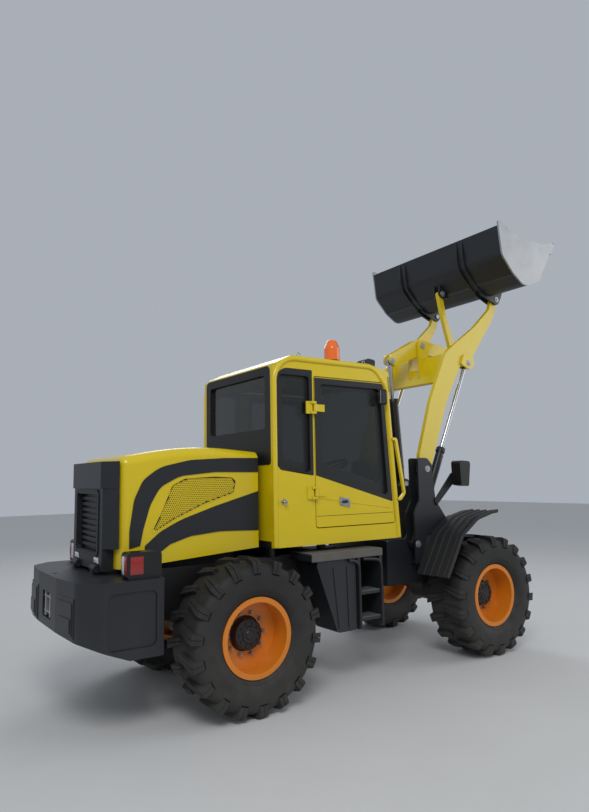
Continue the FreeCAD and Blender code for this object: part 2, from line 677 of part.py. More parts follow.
def hood():
    shell = piece("hood_shell")
    nose, back = -sheet.hood_nose, -sheet.hood_back
    side = [(nose, 1115), (nose, 1868), (-1590, 1915, 2500), (back, 1820, 60), (back, sheet.frame_top + 20)]
    solid = pad(shell, SIDE, [side], "-hood_half", "hood_half")
    long_edges = []
    for number, edge in enumerate(solid.Shape.Edges, 1):
        ends = [vertex.Point for vertex in edge.Vertexes]
        along = abs(ends[0].x - ends[-1].x) > 1
        if along and all(spot.z > 1815 and abs(abs(spot.y) - sheet.hood_half) < 0.1 for spot in ends):
            long_edges.append(f"Edge{number}")
    rounding = shell.newObject("PartDesign::Fillet", "hood_shell_rounding")
    rounding.Base = (solid, long_edges)
    bind(rounding, "Radius", "hood_rounding")
    doc.recompute()
    wall = sheet.hood_wall
    hollow = [(nose + 50, 1000), (nose + 50, 1868 - wall), (-1590, 1915 - wall, 2500), (back + wall, 1820 - wall, 40),
              (back + wall, 1000)]
    cut(shell, SIDE, [hollow], "hood_wall - hood_half", "hood_half - hood_wall")
    cut_pair(shell, [HOOD_MESH], "hood_half - hood_wall - 2", "hood_half + 2")

    bands = piece("hood_bands")
    pad_pair(bands, [HOOD_BAND], "hood_half", "hood_half + trim_thick")
    pad_pair(bands, [HOOD_SKIRT], "hood_half", "hood_half + trim_thick")

    mesh = piece("hood_mesh")
    middle = Vector(-1580, 1500, 0)
    shrink = 0.997
    panel = [(middle.x + (spot[0] - middle.x) * shrink, middle.y + (spot[1] - middle.y) * shrink, *spot[2:])
             for spot in HOOD_MESH]
    pad_pair(mesh, [panel], "hood_half - 14", "hood_half - 4")

    housing = piece("radiator_housing")
    rear, half, full = -sheet.housing_back, sheet.housing_half, sheet.hood_half
    plan = [(back, -full), (back, full), (rear, half, 20), (rear, -half, 20)]
    pad(housing, PLAN, [plan], "1180", "1790")
    cap = [(back, -full), (back, full), (rear - 14, half, 20), (rear - 14, -half, 20)]
    pad(housing, PLAN, [cap], "1600", "1790")
    pad(housing, PLAN, [box(rear, back, -half, half)], "frame_top + 5", "1180")
    cut(housing, FRONT, [box(-240, 240, 1150, 1560, 20)], "-housing_back - 20", "45 - housing_back")
    hinge, level = -sheet.hood_hinge_back, sheet.hood_hinge_level
    for near in (165, 246):
        pad_pair(housing, [circle(hinge, level, 28)], near, near + 29)
    cut_pair(housing, [circle(hinge, level, 48)], "194", "246")
    cut_pair(housing, [circle(hinge, level, 15 + sheet.pin_gap)], "160", "280")
    grille = piece("rear_grille")
    for level in range(1178, 1515, 42):
        pad(grille, FRONT, [box(-239.6, 239.6, level, level + 22)], "25 - housing_back", "45 - housing_back")
    return shell


# Front half

def front_frame():
    body = piece("front_frame")
    bottom, rear, nose = sheet.frame_bottom, sheet.chassis_back, sheet.chassis_nose
    top = sheet.boom_pivot_level
    pivot = sheet.boom_pivot_ahead
    inner = [(rear, bottom, 40), (rear, 1060, 30), (640, 1060), (665, 1100), (665, 1300, 40), (735, 1420, 60),
             (735, top + 105, 20), (pivot, top + 105, 60), (pivot + 65, top + 40, 50), (925, 1660, 60),
             (955, 1420, 60), (1050, 1300, 60), (1142, 1180, 60), (1240, 1000, 80), (nose, 960, 40), (nose, bottom, 40)]
    outer = [(665, 840, 30), (665, 1300, 40), (735, 1420, 60), (735, top + 105, 20), (pivot, top + 105, 60),
             (pivot + 65, top + 40, 50), (925, 1660, 60), (955, 1420, 60), (1050, 1300, 60), (1142, 1180, 60),
             (1142, 840, 30)]
    pad_pair(body, [inner], "chassis_half - plate_thick", "chassis_half")
    pad_pair(body, [outer], "tower_half - plate_thick", "tower_half")
    half = sheet.chassis_half - sheet.plate_thick
    pad(body, FRONT, [box(-half, half, bottom, 1060)], "chassis_back", "chassis_back + plate_thick")
    pad(body, FRONT, [box(-half, half, bottom, 940)], "chassis_nose - plate_thick", "chassis_nose")
    pad(body, SIDE, [[(rear, bottom), (rear, bottom + 20), (1090, bottom + 20), (1090, bottom)]],
        "plate_thick - chassis_half", "chassis_half - plate_thick")
    pad(body, SIDE, [[(900, 1300), (900, 1320), (1000, 1320), (1080, 1220), (1064, 1208), (990, 1300)]],
        "plate_thick - chassis_half", "chassis_half - plate_thick")
    pad(body, FRONT, [box(-half, half, 1060, 1560)], "740", "760")
    web = [(760, 1300), (760, 1440), (tilt_pin()[0] - 30, tilt_pin()[1] + 55, 40), (tilt_pin()[0] + 50, tilt_pin()[1] + 40, 45),
           (tilt_pin()[0] + 50, tilt_pin()[1] - 50, 45), (950, 1300)]
    pad_pair(body, [web], "rocker_inner + rocker_plate + clear_gap", "rocker_inner + rocker_plate + clear_gap + 24")
    pad(body, SIDE, [[(740, 1300), (740, 1320), (910, 1320), (910, 1300)]],
        "plate_thick - chassis_half", "chassis_half - plate_thick")
    bores = [circle(*tilt_pin(), sheet.boom_pin_radius)]
    cut(body, SIDE, bores, "-110", "110")
    pad_pair(body, [circle(pivot, top, sheet.boom_pin_radius), circle(*lift_base(), sheet.boom_pin_radius)],
             "chassis_half - 8", "tower_half - 8")
    # A shelf at the foot of the tower carries the outer plates.
    pad_pair(body, [box(690, 1120, 840, 856)], "chassis_half", "tower_half - plate_thick")
    nose_radius = sheet.ear_radius
    ear = [(rear + 10, -nose_radius - 60), (rear + 10, nose_radius + 60), (-nose_radius, nose_radius, nose_radius * 0.95),
           (-nose_radius, -nose_radius, nose_radius * 0.95)]
    hole = circle(0, 0, sheet.pivot_radius + sheet.pin_gap)
    pad(body, PLAN, [ear, hole], "hinge_upper - ear_thick / 2", "hinge_upper + ear_thick / 2")
    pad(body, PLAN, [ear, hole], "hinge_lower - ear_thick / 2", "hinge_lower + ear_thick / 2")
    pad(body, FRONT, [box(-nose_radius - 60, nose_radius + 60, sheet.hinge_lower - 50, bottom + 5)],
        "chassis_back", "chassis_back + 25")
    for side in BOTH:
        aside = side * sheet.steer_eye_side
        ahead = sheet.steer_eye_front
        ear = [(rear + 5, aside - side * 60), (rear + 5, aside + side * 40), (ahead - 38, aside + side * 38, 36),
               (ahead - 38, aside - side * 38, 36)]
        for low, high in (("18", "36"), ("-36", "-18")):
            pad(body, PLAN, [ear], f"steer_level + {low}", f"steer_level + {high}")
    return body


def tilt_pin():
    return sheet.tilt_base_ahead, sheet.tilt_base_level


def lift_base():
    return sheet.lift_base_ahead, sheet.lift_base_level


def lift_eye():
    return sheet.lift_eye_ahead, sheet.lift_eye_level


def front_fenders():
    body = piece("front_fenders")
    outer = [(1355, 1312), (1280, 1306, 200), (1070, 1258, 200), (855, 1118, 200), (735, 915, 150), (640, 762)]
    inner = [(655, 756), (749, 905, 150), (866, 1106, 185), (1076, 1243, 185), (1281, 1291, 185), (1355, 1297)]
    pad_pair(body, [outer + inner], "tower_half + 25", "wheel_track / 2 + tyre_wide / 2 - 10")
    pad_pair(body, [[(860, 1112), (900, 1090), (1100, 1150), (1130, 1180), (1130, 1268), (1070, 1252)]],
             "tower_half", "tower_half + 30")
    return body


def headlamps():
    """Lamp boxes on brackets from the tower's outer plates."""
    body = piece("headlamps")
    pad_pair(body, [[(1190, 1560, 20), (1300, 1545, 20), (1335, 1790, 30), (1180, 1800, 30)]],
             "tower_half + 12", "tower_half + 125")
    pad_pair(body, [[(930, 1420), (960, 1370), (1230, 1600, 20), (1230, 1680, 20), (1180, 1680, 20)]],
             "tower_half", "tower_half + 12")
    return body


# Working gear

def boom():
    body = piece("boom")
    pivot = (sheet.boom_pivot_ahead, sheet.boom_pivot_level)
    tip = (sheet.bucket_pin_ahead, sheet.bucket_pin_level)
    arm = [(pivot[0] - 62, pivot[1] - 75, 60), (805, 1850, 120), (989, 2401, 900), (1242, 2912, 300), (1700, 3225, 260),
           (tip[0] - 92, tip[1] - 115, 90), (tip[0] - 38, tip[1] + 46, 42), (tip[0] + 46, tip[1] + 46, 42),
           (tip[0] + 2, tip[1] - 140, 200), (tip[0] - 90, tip[1] - 276, 500), (1830, 3127, 500), (1630, 2870, 60),
           (1477, 2835, 60), (1228, 2414, 900),
           (990, 1817, 900), (pivot[0] + 72, pivot[1] - 75, 60)]
    near, far = "arm_middle - arm_thick / 2", "arm_middle + arm_thick / 2"
    gap = sheet.pin_gap
    pad_pair(body, [arm], near, far)
    pad_pair(body, [[(1490, 2905, 20), (1440, 2800, 30), (1590, 2745, 45), (1650, 2830, 60), (1610, 2930, 40)]],
             "arm_middle - arm_thick / 2 - bracket_thick", "arm_middle + arm_thick / 2 + bracket_thick")
    slot = [(lift_eye()[0] - 70, lift_eye()[1] - 130), (lift_eye()[0] - 62, lift_eye()[1] + 50, 50),
            (lift_eye()[0] + 62, lift_eye()[1] + 50, 50), (lift_eye()[0] + 130, lift_eye()[1] - 130)]
    cut_pair(body, [slot], "arm_middle - arm_thick / 2 - 6", "arm_middle + arm_thick / 2 + 6")
    cut_pair(body, [circle(*pivot, sheet.boom_pin_radius + gap), circle(*tip, sheet.bucket_pin_radius + gap)],
             "arm_middle - arm_thick", "arm_middle + arm_thick")
    cross = [(1190, 2610, 10), (1225, 2595, 10), (1385, 2900, 10), (1350, 2930, 10)]
    pad(body, SIDE, [cross], "arm_thick / 2 - arm_middle", "arm_middle - arm_thick / 2")
    cut(body, SIDE, [box(1150, 1450, 2790, 3000)], "-rocker_inner - rocker_plate - clear_gap",
        "rocker_inner + rocker_plate + clear_gap")
    rocker = (sheet.rocker_ahead, sheet.rocker_level)
    ear = [(rocker[0] - 60, rocker[1] + 60, 58), (rocker[0] - 60, rocker[1] - 90, 40), (1225, 2690), (1380, 2900),
           (rocker[0] + 62, rocker[1] + 60, 58)]
    pad_pair(body, [ear], "rocker_inner + rocker_plate + clear_gap", "rocker_inner + rocker_plate + clear_gap + 24")
    cut_pair(body, [circle(*rocker, sheet.link_pin_radius + gap)], "rocker_inner", "110")
    return body


def rocker_piece():
    """Two rocker plates joined by a boss on the rocker pin."""
    body = piece("rocker")
    rod = (sheet.rocker_rod_ahead, sheet.rocker_rod_level)
    middle = (sheet.rocker_ahead, sheet.rocker_level)
    link = (sheet.rocker_link_ahead, sheet.rocker_link_level)
    plate = [(rod[0] - 55, rod[1] - 20, 50), (rod[0] - 30, rod[1] + 60, 50), (middle[0] - 40, middle[1] + 75, 80),
             (link[0] + 40, link[1] + 55, 50), (link[0] + 50, link[1] - 55, 50), (middle[0] + 30, middle[1] - 85, 90),
             (rod[0] + 50, rod[1] - 50, 45)]
    pad_pair(body, [plate], "rocker_inner", "rocker_inner + rocker_plate")
    pad(body, SIDE, [circle(*middle, 52)], "-rocker_inner", "rocker_inner")
    cut(body, SIDE, [circle(*middle, sheet.link_pin_radius + sheet.pin_gap)], "-70", "70")
    return body


def link_piece():
    """Link from the rocker to the bucket, bent and slim where it swings close to the bucket's back."""
    body = piece("bucket_link")
    start = Vector(sheet.rocker_link_ahead, sheet.rocker_link_level, 0)
    end = Vector(*link_pin_spot(), 0)
    long = (end - start).Length
    along = (end - start).normalize()
    aside = Vector(-along.y, along.x, 0)
    thick_eye, slim_eye, half = sheet.link_eye, sheet.link_slim_eye, sheet.link_half
    bend, knee = sheet.link_bend, long - sheet.link_knee
    spots = [(-thick_eye, -thick_eye, thick_eye), (knee, bend - half, 300), (long + slim_eye, -slim_eye, slim_eye),
             (long + slim_eye, slim_eye, slim_eye), (knee, bend + half, 300), (-thick_eye, thick_eye, thick_eye)]
    outline = []
    for reach, offset, radius in spots:
        spot = start + along * reach + aside * offset
        outline.append((spot.x, spot.y, radius * 0.93))
    pad(body, SIDE, [outline, circle(end.x, end.y, sheet.link_pin_radius + sheet.pin_gap),
                     circle(start.x, start.y, sheet.link_pin_radius)], "-middle_bar / 2", "middle_bar / 2")
    return body


def link_pin_spot():
    """Link pin on the bucket, turned with the bucket about its pins."""
    turn = math.radians(sheet.bucket_rolled)
    along, up = sheet.link_low, sheet.link_high
    return (sheet.bucket_pin_ahead + along * math.cos(turn) - up * math.sin(turn),
            sheet.bucket_pin_level + along * math.sin(turn) + up * math.cos(turn))


def pins():
    """The pins that pieces turn on and that stand free of both."""
    near = "arm_middle - arm_thick / 2 - clear_gap - bracket_thick"
    far = "arm_middle + arm_thick / 2 + clear_gap + bracket_thick"
    rows = [
        # name, centre, radius, near, far (None: across the centreline)
        ("bucket_pins", (sheet.bucket_pin_ahead, sheet.bucket_pin_level), sheet.bucket_pin_radius, near, far),
        ("rocker_pin", (sheet.rocker_ahead, sheet.rocker_level), sheet.link_pin_radius, None,
         "rocker_inner + rocker_plate + clear_gap + 28"),
        ("link_pin", link_pin_spot(), sheet.link_pin_radius, None, "rocker_inner + rocker_plate + 4"),
        ("tilt_pin", tilt_pin(), sheet.boom_pin_radius - sheet.pin_gap, None,
         "rocker_inner + rocker_plate + clear_gap + 28"),
    ]
    for label, centre, radius, near, far in rows:
        body = piece(label)
        if near is None:
            pad(body, SIDE, [circle(*centre, radius)], f"-({far})", far)
        else:
            pad_pair(body, [circle(*centre, radius)], near, far)


def bucket():
    """Bucket drawn with its floor level and its pins at the origin, then rolled back."""
    shell = piece("bucket_shell")
    wall = sheet.bucket_wall
    outer = [(670, -45), (150, -45, 130), (-70, 120, 150), (-75, 330, 260), (-20, 560, 120), (215, 752)]
    inner = [(224, 741), (-20 + wall, 553, 106), (-75 + wall, 330, 246), (-70 + wall, 127, 136),
             (155, -45 + wall, 116), (670, -45 + wall)]
    pad(shell, SIDE, [outer + inner], "bucket_side - bucket_wide / 2", "bucket_wide / 2 - bucket_side")
    ear = [(175, -38), (107, -3), (-17, 90), (-48, 138), (-66, 250), (-110, 235, 20), (-75, 60, 60),
           (-48, -48, 46), (60, -50, 30)]
    hole = circle(0, 0, sheet.bucket_pin_radius + sheet.pin_gap)
    side = "arm_thick / 2 + clear_gap"
    pad_pair(shell, [ear, hole], f"arm_middle - {side} - bracket_thick", f"arm_middle - ({side})")
    pad_pair(shell, [ear, hole], f"arm_middle + {side}", f"arm_middle + {side} + bracket_thick")
    spot = (sheet.link_low, sheet.link_high)
    lug = [(-66, 280), (-48, 400), (-30, 475), (-75, 455, 30), (spot[0] - 36, spot[1] + 38, 35),
           (spot[0] - 36, spot[1] - 38, 35), (-90, 300, 20)]
    pad_pair(shell, [lug, circle(*spot, sheet.link_pin_radius + sheet.pin_gap)],
             "rocker_inner", "rocker_inner + rocker_plate")

    edge = piece("bucket_edge")
    pad(edge, SIDE, [[(560, -45), (720, -45), (720, -52), (690, -65), (560, -65)]], "-bucket_wide / 2", "bucket_wide / 2")

    sides = piece("bucket_sides")
    cheek = [(690, -45), (690, -20), (560, 90, 200), (340, 420, 500), (262, 790, 20), (215, 752), (-20, 560, 120),
             (-75, 330, 260), (-70, 120, 150), (150, -45, 130)]
    pad_pair(sides, [cheek], "bucket_wide / 2 - bucket_side", "bucket_wide / 2")

    for body in (shell, edge, sides):
        body.Placement.Rotation = Rotation(Vector(0, 1, 0), -sheet.bucket_rolled)
        stand(body, "bucket_pin_ahead", "0", "bucket_pin_level")


# Cylinders, each drawn along its own +X and then turned into place

def barrel(label, plane, levels, long, radius, rod, eye, eye_half, bore, start):
    """Closed barrels with a base eye at the origin, one for each level; start is where the round part begins."""
    body = piece(label)
    hollow = rod + sheet.seat_gap
    floor = max(start + 20, eye + 8)
    for level in levels:
        turned(body, plane, [[(start, 0), (start, radius - 4), (start + 4, radius), (long - 50, radius),
                              (long - 50, radius + 4), (long, radius + 4), (long, hollow), (floor, hollow),
                              (floor, 0)]], level, "H_Axis")
        pad(body, plane, [circle(0, 0, eye)], f"{level} - {eye_half}", f"{level} + {eye_half}")
        pad(body, plane, [box(0, start + 10, -eye * 0.6, eye * 0.6)], f"{level} - {eye_half}", f"{level} + {eye_half}")
        cut(body, plane, [circle(0, 0, bore)], f"{level} - {eye_half + radius}", f"{level} + {eye_half + radius}")
    return body


def rod_piece(label, plane, levels, long, radius, eye, eye_half, bore):
    """Rods with a rod eye at the origin, running back along -X."""
    body = piece(label)
    for level in levels:
        turned(body, plane, [[(-long, 0), (-long, radius - 2), (2 - long, radius), (-eye * 0.6, radius), (-eye * 0.6, 0)]],
               level, "H_Axis")
        pad(body, plane, [circle(0, 0, eye), circle(0, 0, bore)], f"{level} - {eye_half}", f"{level} + {eye_half}")
    return body


def lay(body, start, aim):
    """Turns a cylinder in the side plane so that its +X runs from start to aim, and moves it to start."""
    angle = math.degrees(math.atan2(aim[1] - start[1], aim[0] - start[0]))
    body.Placement = FreeCAD.Placement(Vector(start[0], 0, start[1]), Rotation(Vector(0, 1, 0), -angle))


def beyond(start, aim):
    """A point as far past start as aim is before it."""
    return 2 * start[0] - aim[0], 2 * start[1] - aim[1]


def cylinders():
    base, eye = lift_base(), lift_eye()
    both = ("arm_middle", "-arm_middle")
    lay(barrel("lift_barrels", SIDE, both, sheet.lift_barrel_long, sheet.lift_barrel_radius, sheet.lift_rod_radius,
               42, 30, sheet.boom_pin_radius + sheet.pin_gap, 26), base, eye)
    lay(rod_piece("lift_rods", SIDE, both, sheet.lift_rod_long, sheet.lift_rod_radius, 40, 19, 22),
        eye, beyond(eye, base))

    base, eye = tilt_pin(), (sheet.rocker_rod_ahead, sheet.rocker_rod_level)
    lay(barrel("tilt_barrel", SIDE, ("0",), sheet.tilt_barrel_long, sheet.tilt_barrel_radius, sheet.tilt_rod_radius,
               48, 50, sheet.boom_pin_radius, 28), base, eye)
    lay(rod_piece("tilt_rod", SIDE, ("0",), sheet.tilt_rod_long, sheet.tilt_rod_radius, 42, 22, 22),
        eye, beyond(eye, base))

    for name, side in (("left", 1), ("right", -1)):
        start = (-sheet.steer_base_back, side * sheet.steer_base_side)
        end = (sheet.steer_eye_front, side * sheet.steer_eye_side)
        angle = math.degrees(math.atan2(end[1] - start[1], end[0] - start[0]))
        steer_barrel = barrel(f"steer_barrel_{name}", PLAN, ("0",), sheet.steer_barrel_long,
                              sheet.steer_barrel_radius, sheet.steer_rod_radius, 30, 8, 18 + sheet.pin_gap, 56)
        steer_rod = rod_piece(f"steer_rod_{name}", PLAN, ("0",), sheet.steer_rod_long,
                              sheet.steer_rod_radius, 28, 12, 14)
        for body, spot in ((steer_barrel, start), (steer_rod, end)):
            body.Placement = FreeCAD.Placement(Vector(*spot, 0), Rotation(Vector(0, 0, 1), angle))
            bind(body, "Placement.Base.z", "steer_level")


wheels()
front_axle()
rear_axle()
rear_frame()
engine_block()
counterweight()
tail_lamps()
side_steps()
cab()
doors()
seat()
controls()
beacon()
work_lamps()
grab_rails()
hood()
front_frame()
front_fenders()
headlamps()
boom()
rocker_piece()
link_piece()
pins()
bucket()
cylinders()

doc.recompute()
faults = [item.Label for item in doc.Objects if {"Invalid", "Error"} & set(item.State)]
for body in pieces:
    if body.Shape.isNull() or not body.Shape.isValid() or body.Shape.Volume <= 0:
        faults.append(body.Label)
if faults:
    raise RuntimeError("Failed: " + ", ".join(faults))

os.makedirs("parts", exist_ok=True)
for body in pieces:
    body.Shape.exportStep(f"parts/{body.Label}.step")
print(len(pieces), "pieces written")
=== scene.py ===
# %% [markdown]
# # A compact wheel loader
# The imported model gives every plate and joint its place, in metres, with the origin on the floor
# under the articulation pivot, +X forward, +Y left and +Z up. This file gives the surfaces their
# finish and adds what is too fine for the solids: tyre lugs, bolts, window borders,
# lenses, handles, pin caps and the pipes on the cylinders.

# %% Load the frame
import math

import bmesh
import bpy
import numpy as np
from mathutils import Matrix, Vector


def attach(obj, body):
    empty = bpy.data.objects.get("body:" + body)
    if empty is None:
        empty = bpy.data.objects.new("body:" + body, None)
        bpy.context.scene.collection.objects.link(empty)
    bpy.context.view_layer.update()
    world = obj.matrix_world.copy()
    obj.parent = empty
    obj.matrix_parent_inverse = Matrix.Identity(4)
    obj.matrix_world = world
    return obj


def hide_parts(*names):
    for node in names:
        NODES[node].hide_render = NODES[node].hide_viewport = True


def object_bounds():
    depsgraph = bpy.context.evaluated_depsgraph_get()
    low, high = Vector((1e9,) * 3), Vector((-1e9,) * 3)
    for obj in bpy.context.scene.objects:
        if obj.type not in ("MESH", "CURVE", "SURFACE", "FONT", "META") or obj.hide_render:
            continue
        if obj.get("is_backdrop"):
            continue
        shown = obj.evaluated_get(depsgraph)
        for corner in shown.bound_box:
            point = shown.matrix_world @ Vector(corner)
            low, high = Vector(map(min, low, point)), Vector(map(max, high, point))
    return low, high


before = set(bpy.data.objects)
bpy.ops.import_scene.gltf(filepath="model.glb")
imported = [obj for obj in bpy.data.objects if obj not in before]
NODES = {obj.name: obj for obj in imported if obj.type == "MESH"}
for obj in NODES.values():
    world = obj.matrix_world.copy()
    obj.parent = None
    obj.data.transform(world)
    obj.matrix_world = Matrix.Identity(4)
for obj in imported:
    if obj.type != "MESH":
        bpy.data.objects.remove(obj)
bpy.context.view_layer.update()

# %% [markdown]
# ## Camera
# The photograph was taken standing behind the right rear wheel and looking slightly up. Three
# arrows fix a camera: its right, its up and its view direction. Blender's camera looks along its
# own -Z, so the third column of its matrix is the view direction turned round.

# %% Camera
CAMERA_AT = (-3.681, -4.826, 1.646)
CAMERA_RIGHT = (0.823304, -0.567361, -0.016472)
CAMERA_UP = (-0.051163, -0.103083, 0.993356)
CAMERA_AHEAD = (0.56529, 0.816991, 0.113897)
FOCAL_PIXELS, FRAME_PIXELS, SENSOR = 634.9, 812, 36.0

camera_data = bpy.data.cameras.new("camera")
camera_data.sensor_width = SENSOR
camera_data.lens = FOCAL_PIXELS / FRAME_PIXELS * SENSOR
camera = bpy.data.objects.new("camera", camera_data)
bpy.context.scene.collection.objects.link(camera)
placing = np.eye(4)
placing[:3, 0], placing[:3, 1] = CAMERA_RIGHT, CAMERA_UP
placing[:3, 2], placing[:3, 3] = -np.array(CAMERA_AHEAD), CAMERA_AT
camera.matrix_world = Matrix(placing.tolist())
bpy.context.scene.camera = camera
print("lens", round(camera_data.lens, 2))

# %% [markdown]
# ## Finishes
# Paint on a working machine is never one flat colour. Each finish here starts from a plain colour
# and lets slow noise darken it, fine noise roughen it, and dust gather where the machine is low.
# All patterns read object coordinates, which are metres on this machine.

# %% A finish from a colour
DUST_TOP, DUST_COLOUR = 1.2, (0.28, 0.25, 0.21, 1)


def link(tree, source, target):
    """Joins the output of one shader node to the input of another."""
    tree.links.new(source, target)


def finish(name, colour, rough, metal=0.0, spread=0.12, slow=3.0, grain=180.0, bump=0.05, dust=0.0,
           coat=0.0):
    """A material whose colour is mixed twice: with its darker self by slow noise, and with pale
    dust by height, which is full at the floor and gone at DUST_TOP. Fine noise gives the bump."""
    material = bpy.data.materials.new(name)
    material.use_nodes = True
    tree = material.node_tree
    shader = tree.nodes["Principled BSDF"]
    shader.inputs["Metallic"].default_value = metal
    shader.inputs["Coat Weight"].default_value = coat
    shader.inputs["Coat Roughness"].default_value = 0.08
    place = tree.nodes.new("ShaderNodeTexCoord")
    cloud = tree.nodes.new("ShaderNodeTexNoise")
    cloud.inputs["Scale"].default_value = slow
    cloud.inputs["Detail"].default_value = 5
    link(tree, place.outputs["Object"], cloud.inputs["Vector"])
    shade = tree.nodes.new("ShaderNodeMix")
    shade.data_type = "RGBA"
    shade.inputs["A"].default_value = (*[part * (1 - spread) for part in colour], 1)
    shade.inputs["B"].default_value = (*[min(part * (1 + spread), 1) for part in colour], 1)
    link(tree, cloud.outputs["Fac"], shade.inputs["Factor"])
    top = shade.outputs["Result"]
    if dust:
        split = tree.nodes.new("ShaderNodeSeparateXYZ")
        link(tree, place.outputs["Object"], split.inputs["Vector"])
        low = tree.nodes.new("ShaderNodeMapRange")
        low.inputs["From Min"].default_value = DUST_TOP
        low.inputs["From Max"].default_value = 0.0
        low.inputs["To Max"].default_value = dust
        link(tree, split.outputs["Z"], low.inputs["Value"])
        patch = tree.nodes.new("ShaderNodeMath")
        patch.operation = "MULTIPLY"
        link(tree, low.outputs["Result"], patch.inputs[0])
        link(tree, cloud.outputs["Fac"], patch.inputs[1])
        dusty = tree.nodes.new("ShaderNodeMix")
        dusty.data_type = "RGBA"
        dusty.inputs["B"].default_value = DUST_COLOUR
        link(tree, patch.outputs["Value"], dusty.inputs["Factor"])
        link(tree, top, dusty.inputs["A"])
        top = dusty.outputs["Result"]
    link(tree, top, shader.inputs["Base Color"])
    fine = tree.nodes.new("ShaderNodeTexNoise")
    fine.inputs["Scale"].default_value = grain
    fine.inputs["Detail"].default_value = 3
    link(tree, place.outputs["Object"], fine.inputs["Vector"])
    wander = tree.nodes.new("ShaderNodeMapRange")
    wander.inputs["To Min"].default_value = max(rough - 0.06, 0.02)
    wander.inputs["To Max"].default_value = min(rough + 0.08, 1.0)
    link(tree, fine.outputs["Fac"], wander.inputs["Value"])
    link(tree, wander.outputs["Result"], shader.inputs["Roughness"])
    raised = tree.nodes.new("ShaderNodeBump")
    raised.inputs["Strength"].default_value = bump
    raised.inputs["Distance"].default_value = 0.002
    link(tree, fine.outputs["Fac"], raised.inputs["Height"])
    link(tree, raised.outputs["Normal"], shader.inputs["Normal"])
    return material


YELLOW = finish("yellow_paint", (0.70, 0.52, 0.002), 0.26, spread=0.05, bump=0.015, coat=0.35, dust=0.12)
ORANGE = finish("orange_paint", (0.72, 0.21, 0.004), 0.34, spread=0.07, bump=0.02, coat=0.25, dust=0.1)
DARK = finish("dark_paint", (0.011, 0.013, 0.017), 0.42, spread=0.2, grain=420, bump=0.12, dust=0.1)
BLACK = finish("black_paint", (0.006, 0.006, 0.007), 0.40, spread=0.2, bump=0.05, dust=0.12)
IRON = finish("cast_iron", (0.035, 0.035, 0.035), 0.7, metal=0.4, spread=0.3, grain=260, bump=0.4)
PLASTIC = finish("black_plastic", (0.006, 0.006, 0.007), 0.5, grain=600, bump=0.15, dust=0.08)
FENDER = finish("dark_plastic", (0.011, 0.012, 0.014), 0.6, grain=600, bump=0.25, dust=0.12)
RUBBER = finish("tyre_rubber", (0.010, 0.010, 0.010), 0.72, spread=0.25, slow=9, grain=240, bump=0.3,
                dust=0.22)
STEEL = finish("steel", (0.36, 0.37, 0.38), 0.42, metal=0.7, spread=0.16, slow=7, grain=90, bump=0.1)
CHROME = finish("chrome_rod", (0.50, 0.51, 0.52), 0.16, metal=1.0, spread=0.04, grain=60, bump=0.01)
RED = finish("lamp_red", (0.30, 0.006, 0.005), 0.15, spread=0.05, bump=0.01, coat=0.8)
CLEAR = finish("lamp_clear", (0.62, 0.63, 0.65), 0.12, spread=0.05, bump=0.02, coat=0.9)
AMBER = finish("amber_plastic", (0.90, 0.16, 0.008), 0.2, spread=0.08, bump=0.01, coat=0.7)
CLOTH = finish("seat_cloth", (0.03, 0.03, 0.033), 0.85, spread=0.3, grain=900, bump=0.5)
print("materials, with the model's own", len(bpy.data.materials))

# %% [markdown]
# ## Glass
# The cab's panes are tinted nearly black and still let the seat show faintly. A glass shader that
# bends light would slow the picture and hide the seat, so the pane mixes a dark clear film with a
# mirror-like gloss.

# %% Dark glass
GLASS = bpy.data.materials.new("dark_glass")
GLASS.use_nodes = True
pane = GLASS.node_tree.nodes["Principled BSDF"]
pane.inputs["Base Color"].default_value = (0.012, 0.016, 0.015, 1)
pane.inputs["Alpha"].default_value = 0.62
pane.inputs["Coat Weight"].default_value = 0.5
haze = GLASS.node_tree.nodes.new("ShaderNodeTexNoise")
haze.inputs["Scale"].default_value = 2.2
film = GLASS.node_tree.nodes.new("ShaderNodeMapRange")
film.inputs["To Min"].default_value, film.inputs["To Max"].default_value = 0.02, 0.10
link(GLASS.node_tree, haze.outputs["Fac"], film.inputs["Value"])
link(GLASS.node_tree, film.outputs["Result"], pane.inputs["Roughness"])
print("glass lets through", round(1 - pane.inputs["Alpha"].default_value, 2))

# %% [markdown]
# ## Paint
# Each solid of the model is named, so one table from finish to names paints them all.

# %% Each solid gets its finish
PAINTED = {
    YELLOW: "cab_sides cab_rear cab_front cab_roof hood_shell door_left door_right boom bucket_link rocker"
            " grab_rails",
    DARK: "counterweight side_steps hood_bands radiator_housing front_frame bucket_shell",
    BLACK: "rear_frame rear_axle cab_floor front_axle tilt_barrel lift_barrels steer_barrel_left"
           " steer_barrel_right tail_lamps",
    IRON: "engine_block",
    PLASTIC: "seat controls steering_wheel work_lamps hood_mesh rear_grille headlamps",
    FENDER: "front_fenders",
    RUBBER: "tyre_front_left tyre_front_right tyre_rear_left tyre_rear_right",
    ORANGE: "rim_front_left rim_front_right rim_rear_left rim_rear_right",
    STEEL: "bucket_edge bucket_sides bucket_pins link_pin rocker_pin tilt_pin",
    CHROME: "tilt_rod lift_rods steer_rod_left steer_rod_right",
    AMBER: "beacon",
    GLASS: "cab_glass door_glass_left door_glass_right",
}
painted = set()
for material, names in PAINTED.items():
    for name in names.split():
        NODES[name].data.materials.clear()
        NODES[name].data.materials.append(material)
        painted.add(name)
print("solids without a finish:", sorted(set(NODES) - painted))

# %% [markdown]
# ## Surfaces from arrays
# Nearly every extra piece is one of three forms: a grid of points closed into a skin, a section
# turned round an axle, or a convex hull of a few corners. Each helper works out all its points at
# once and hands them to Blender with from_pydata.

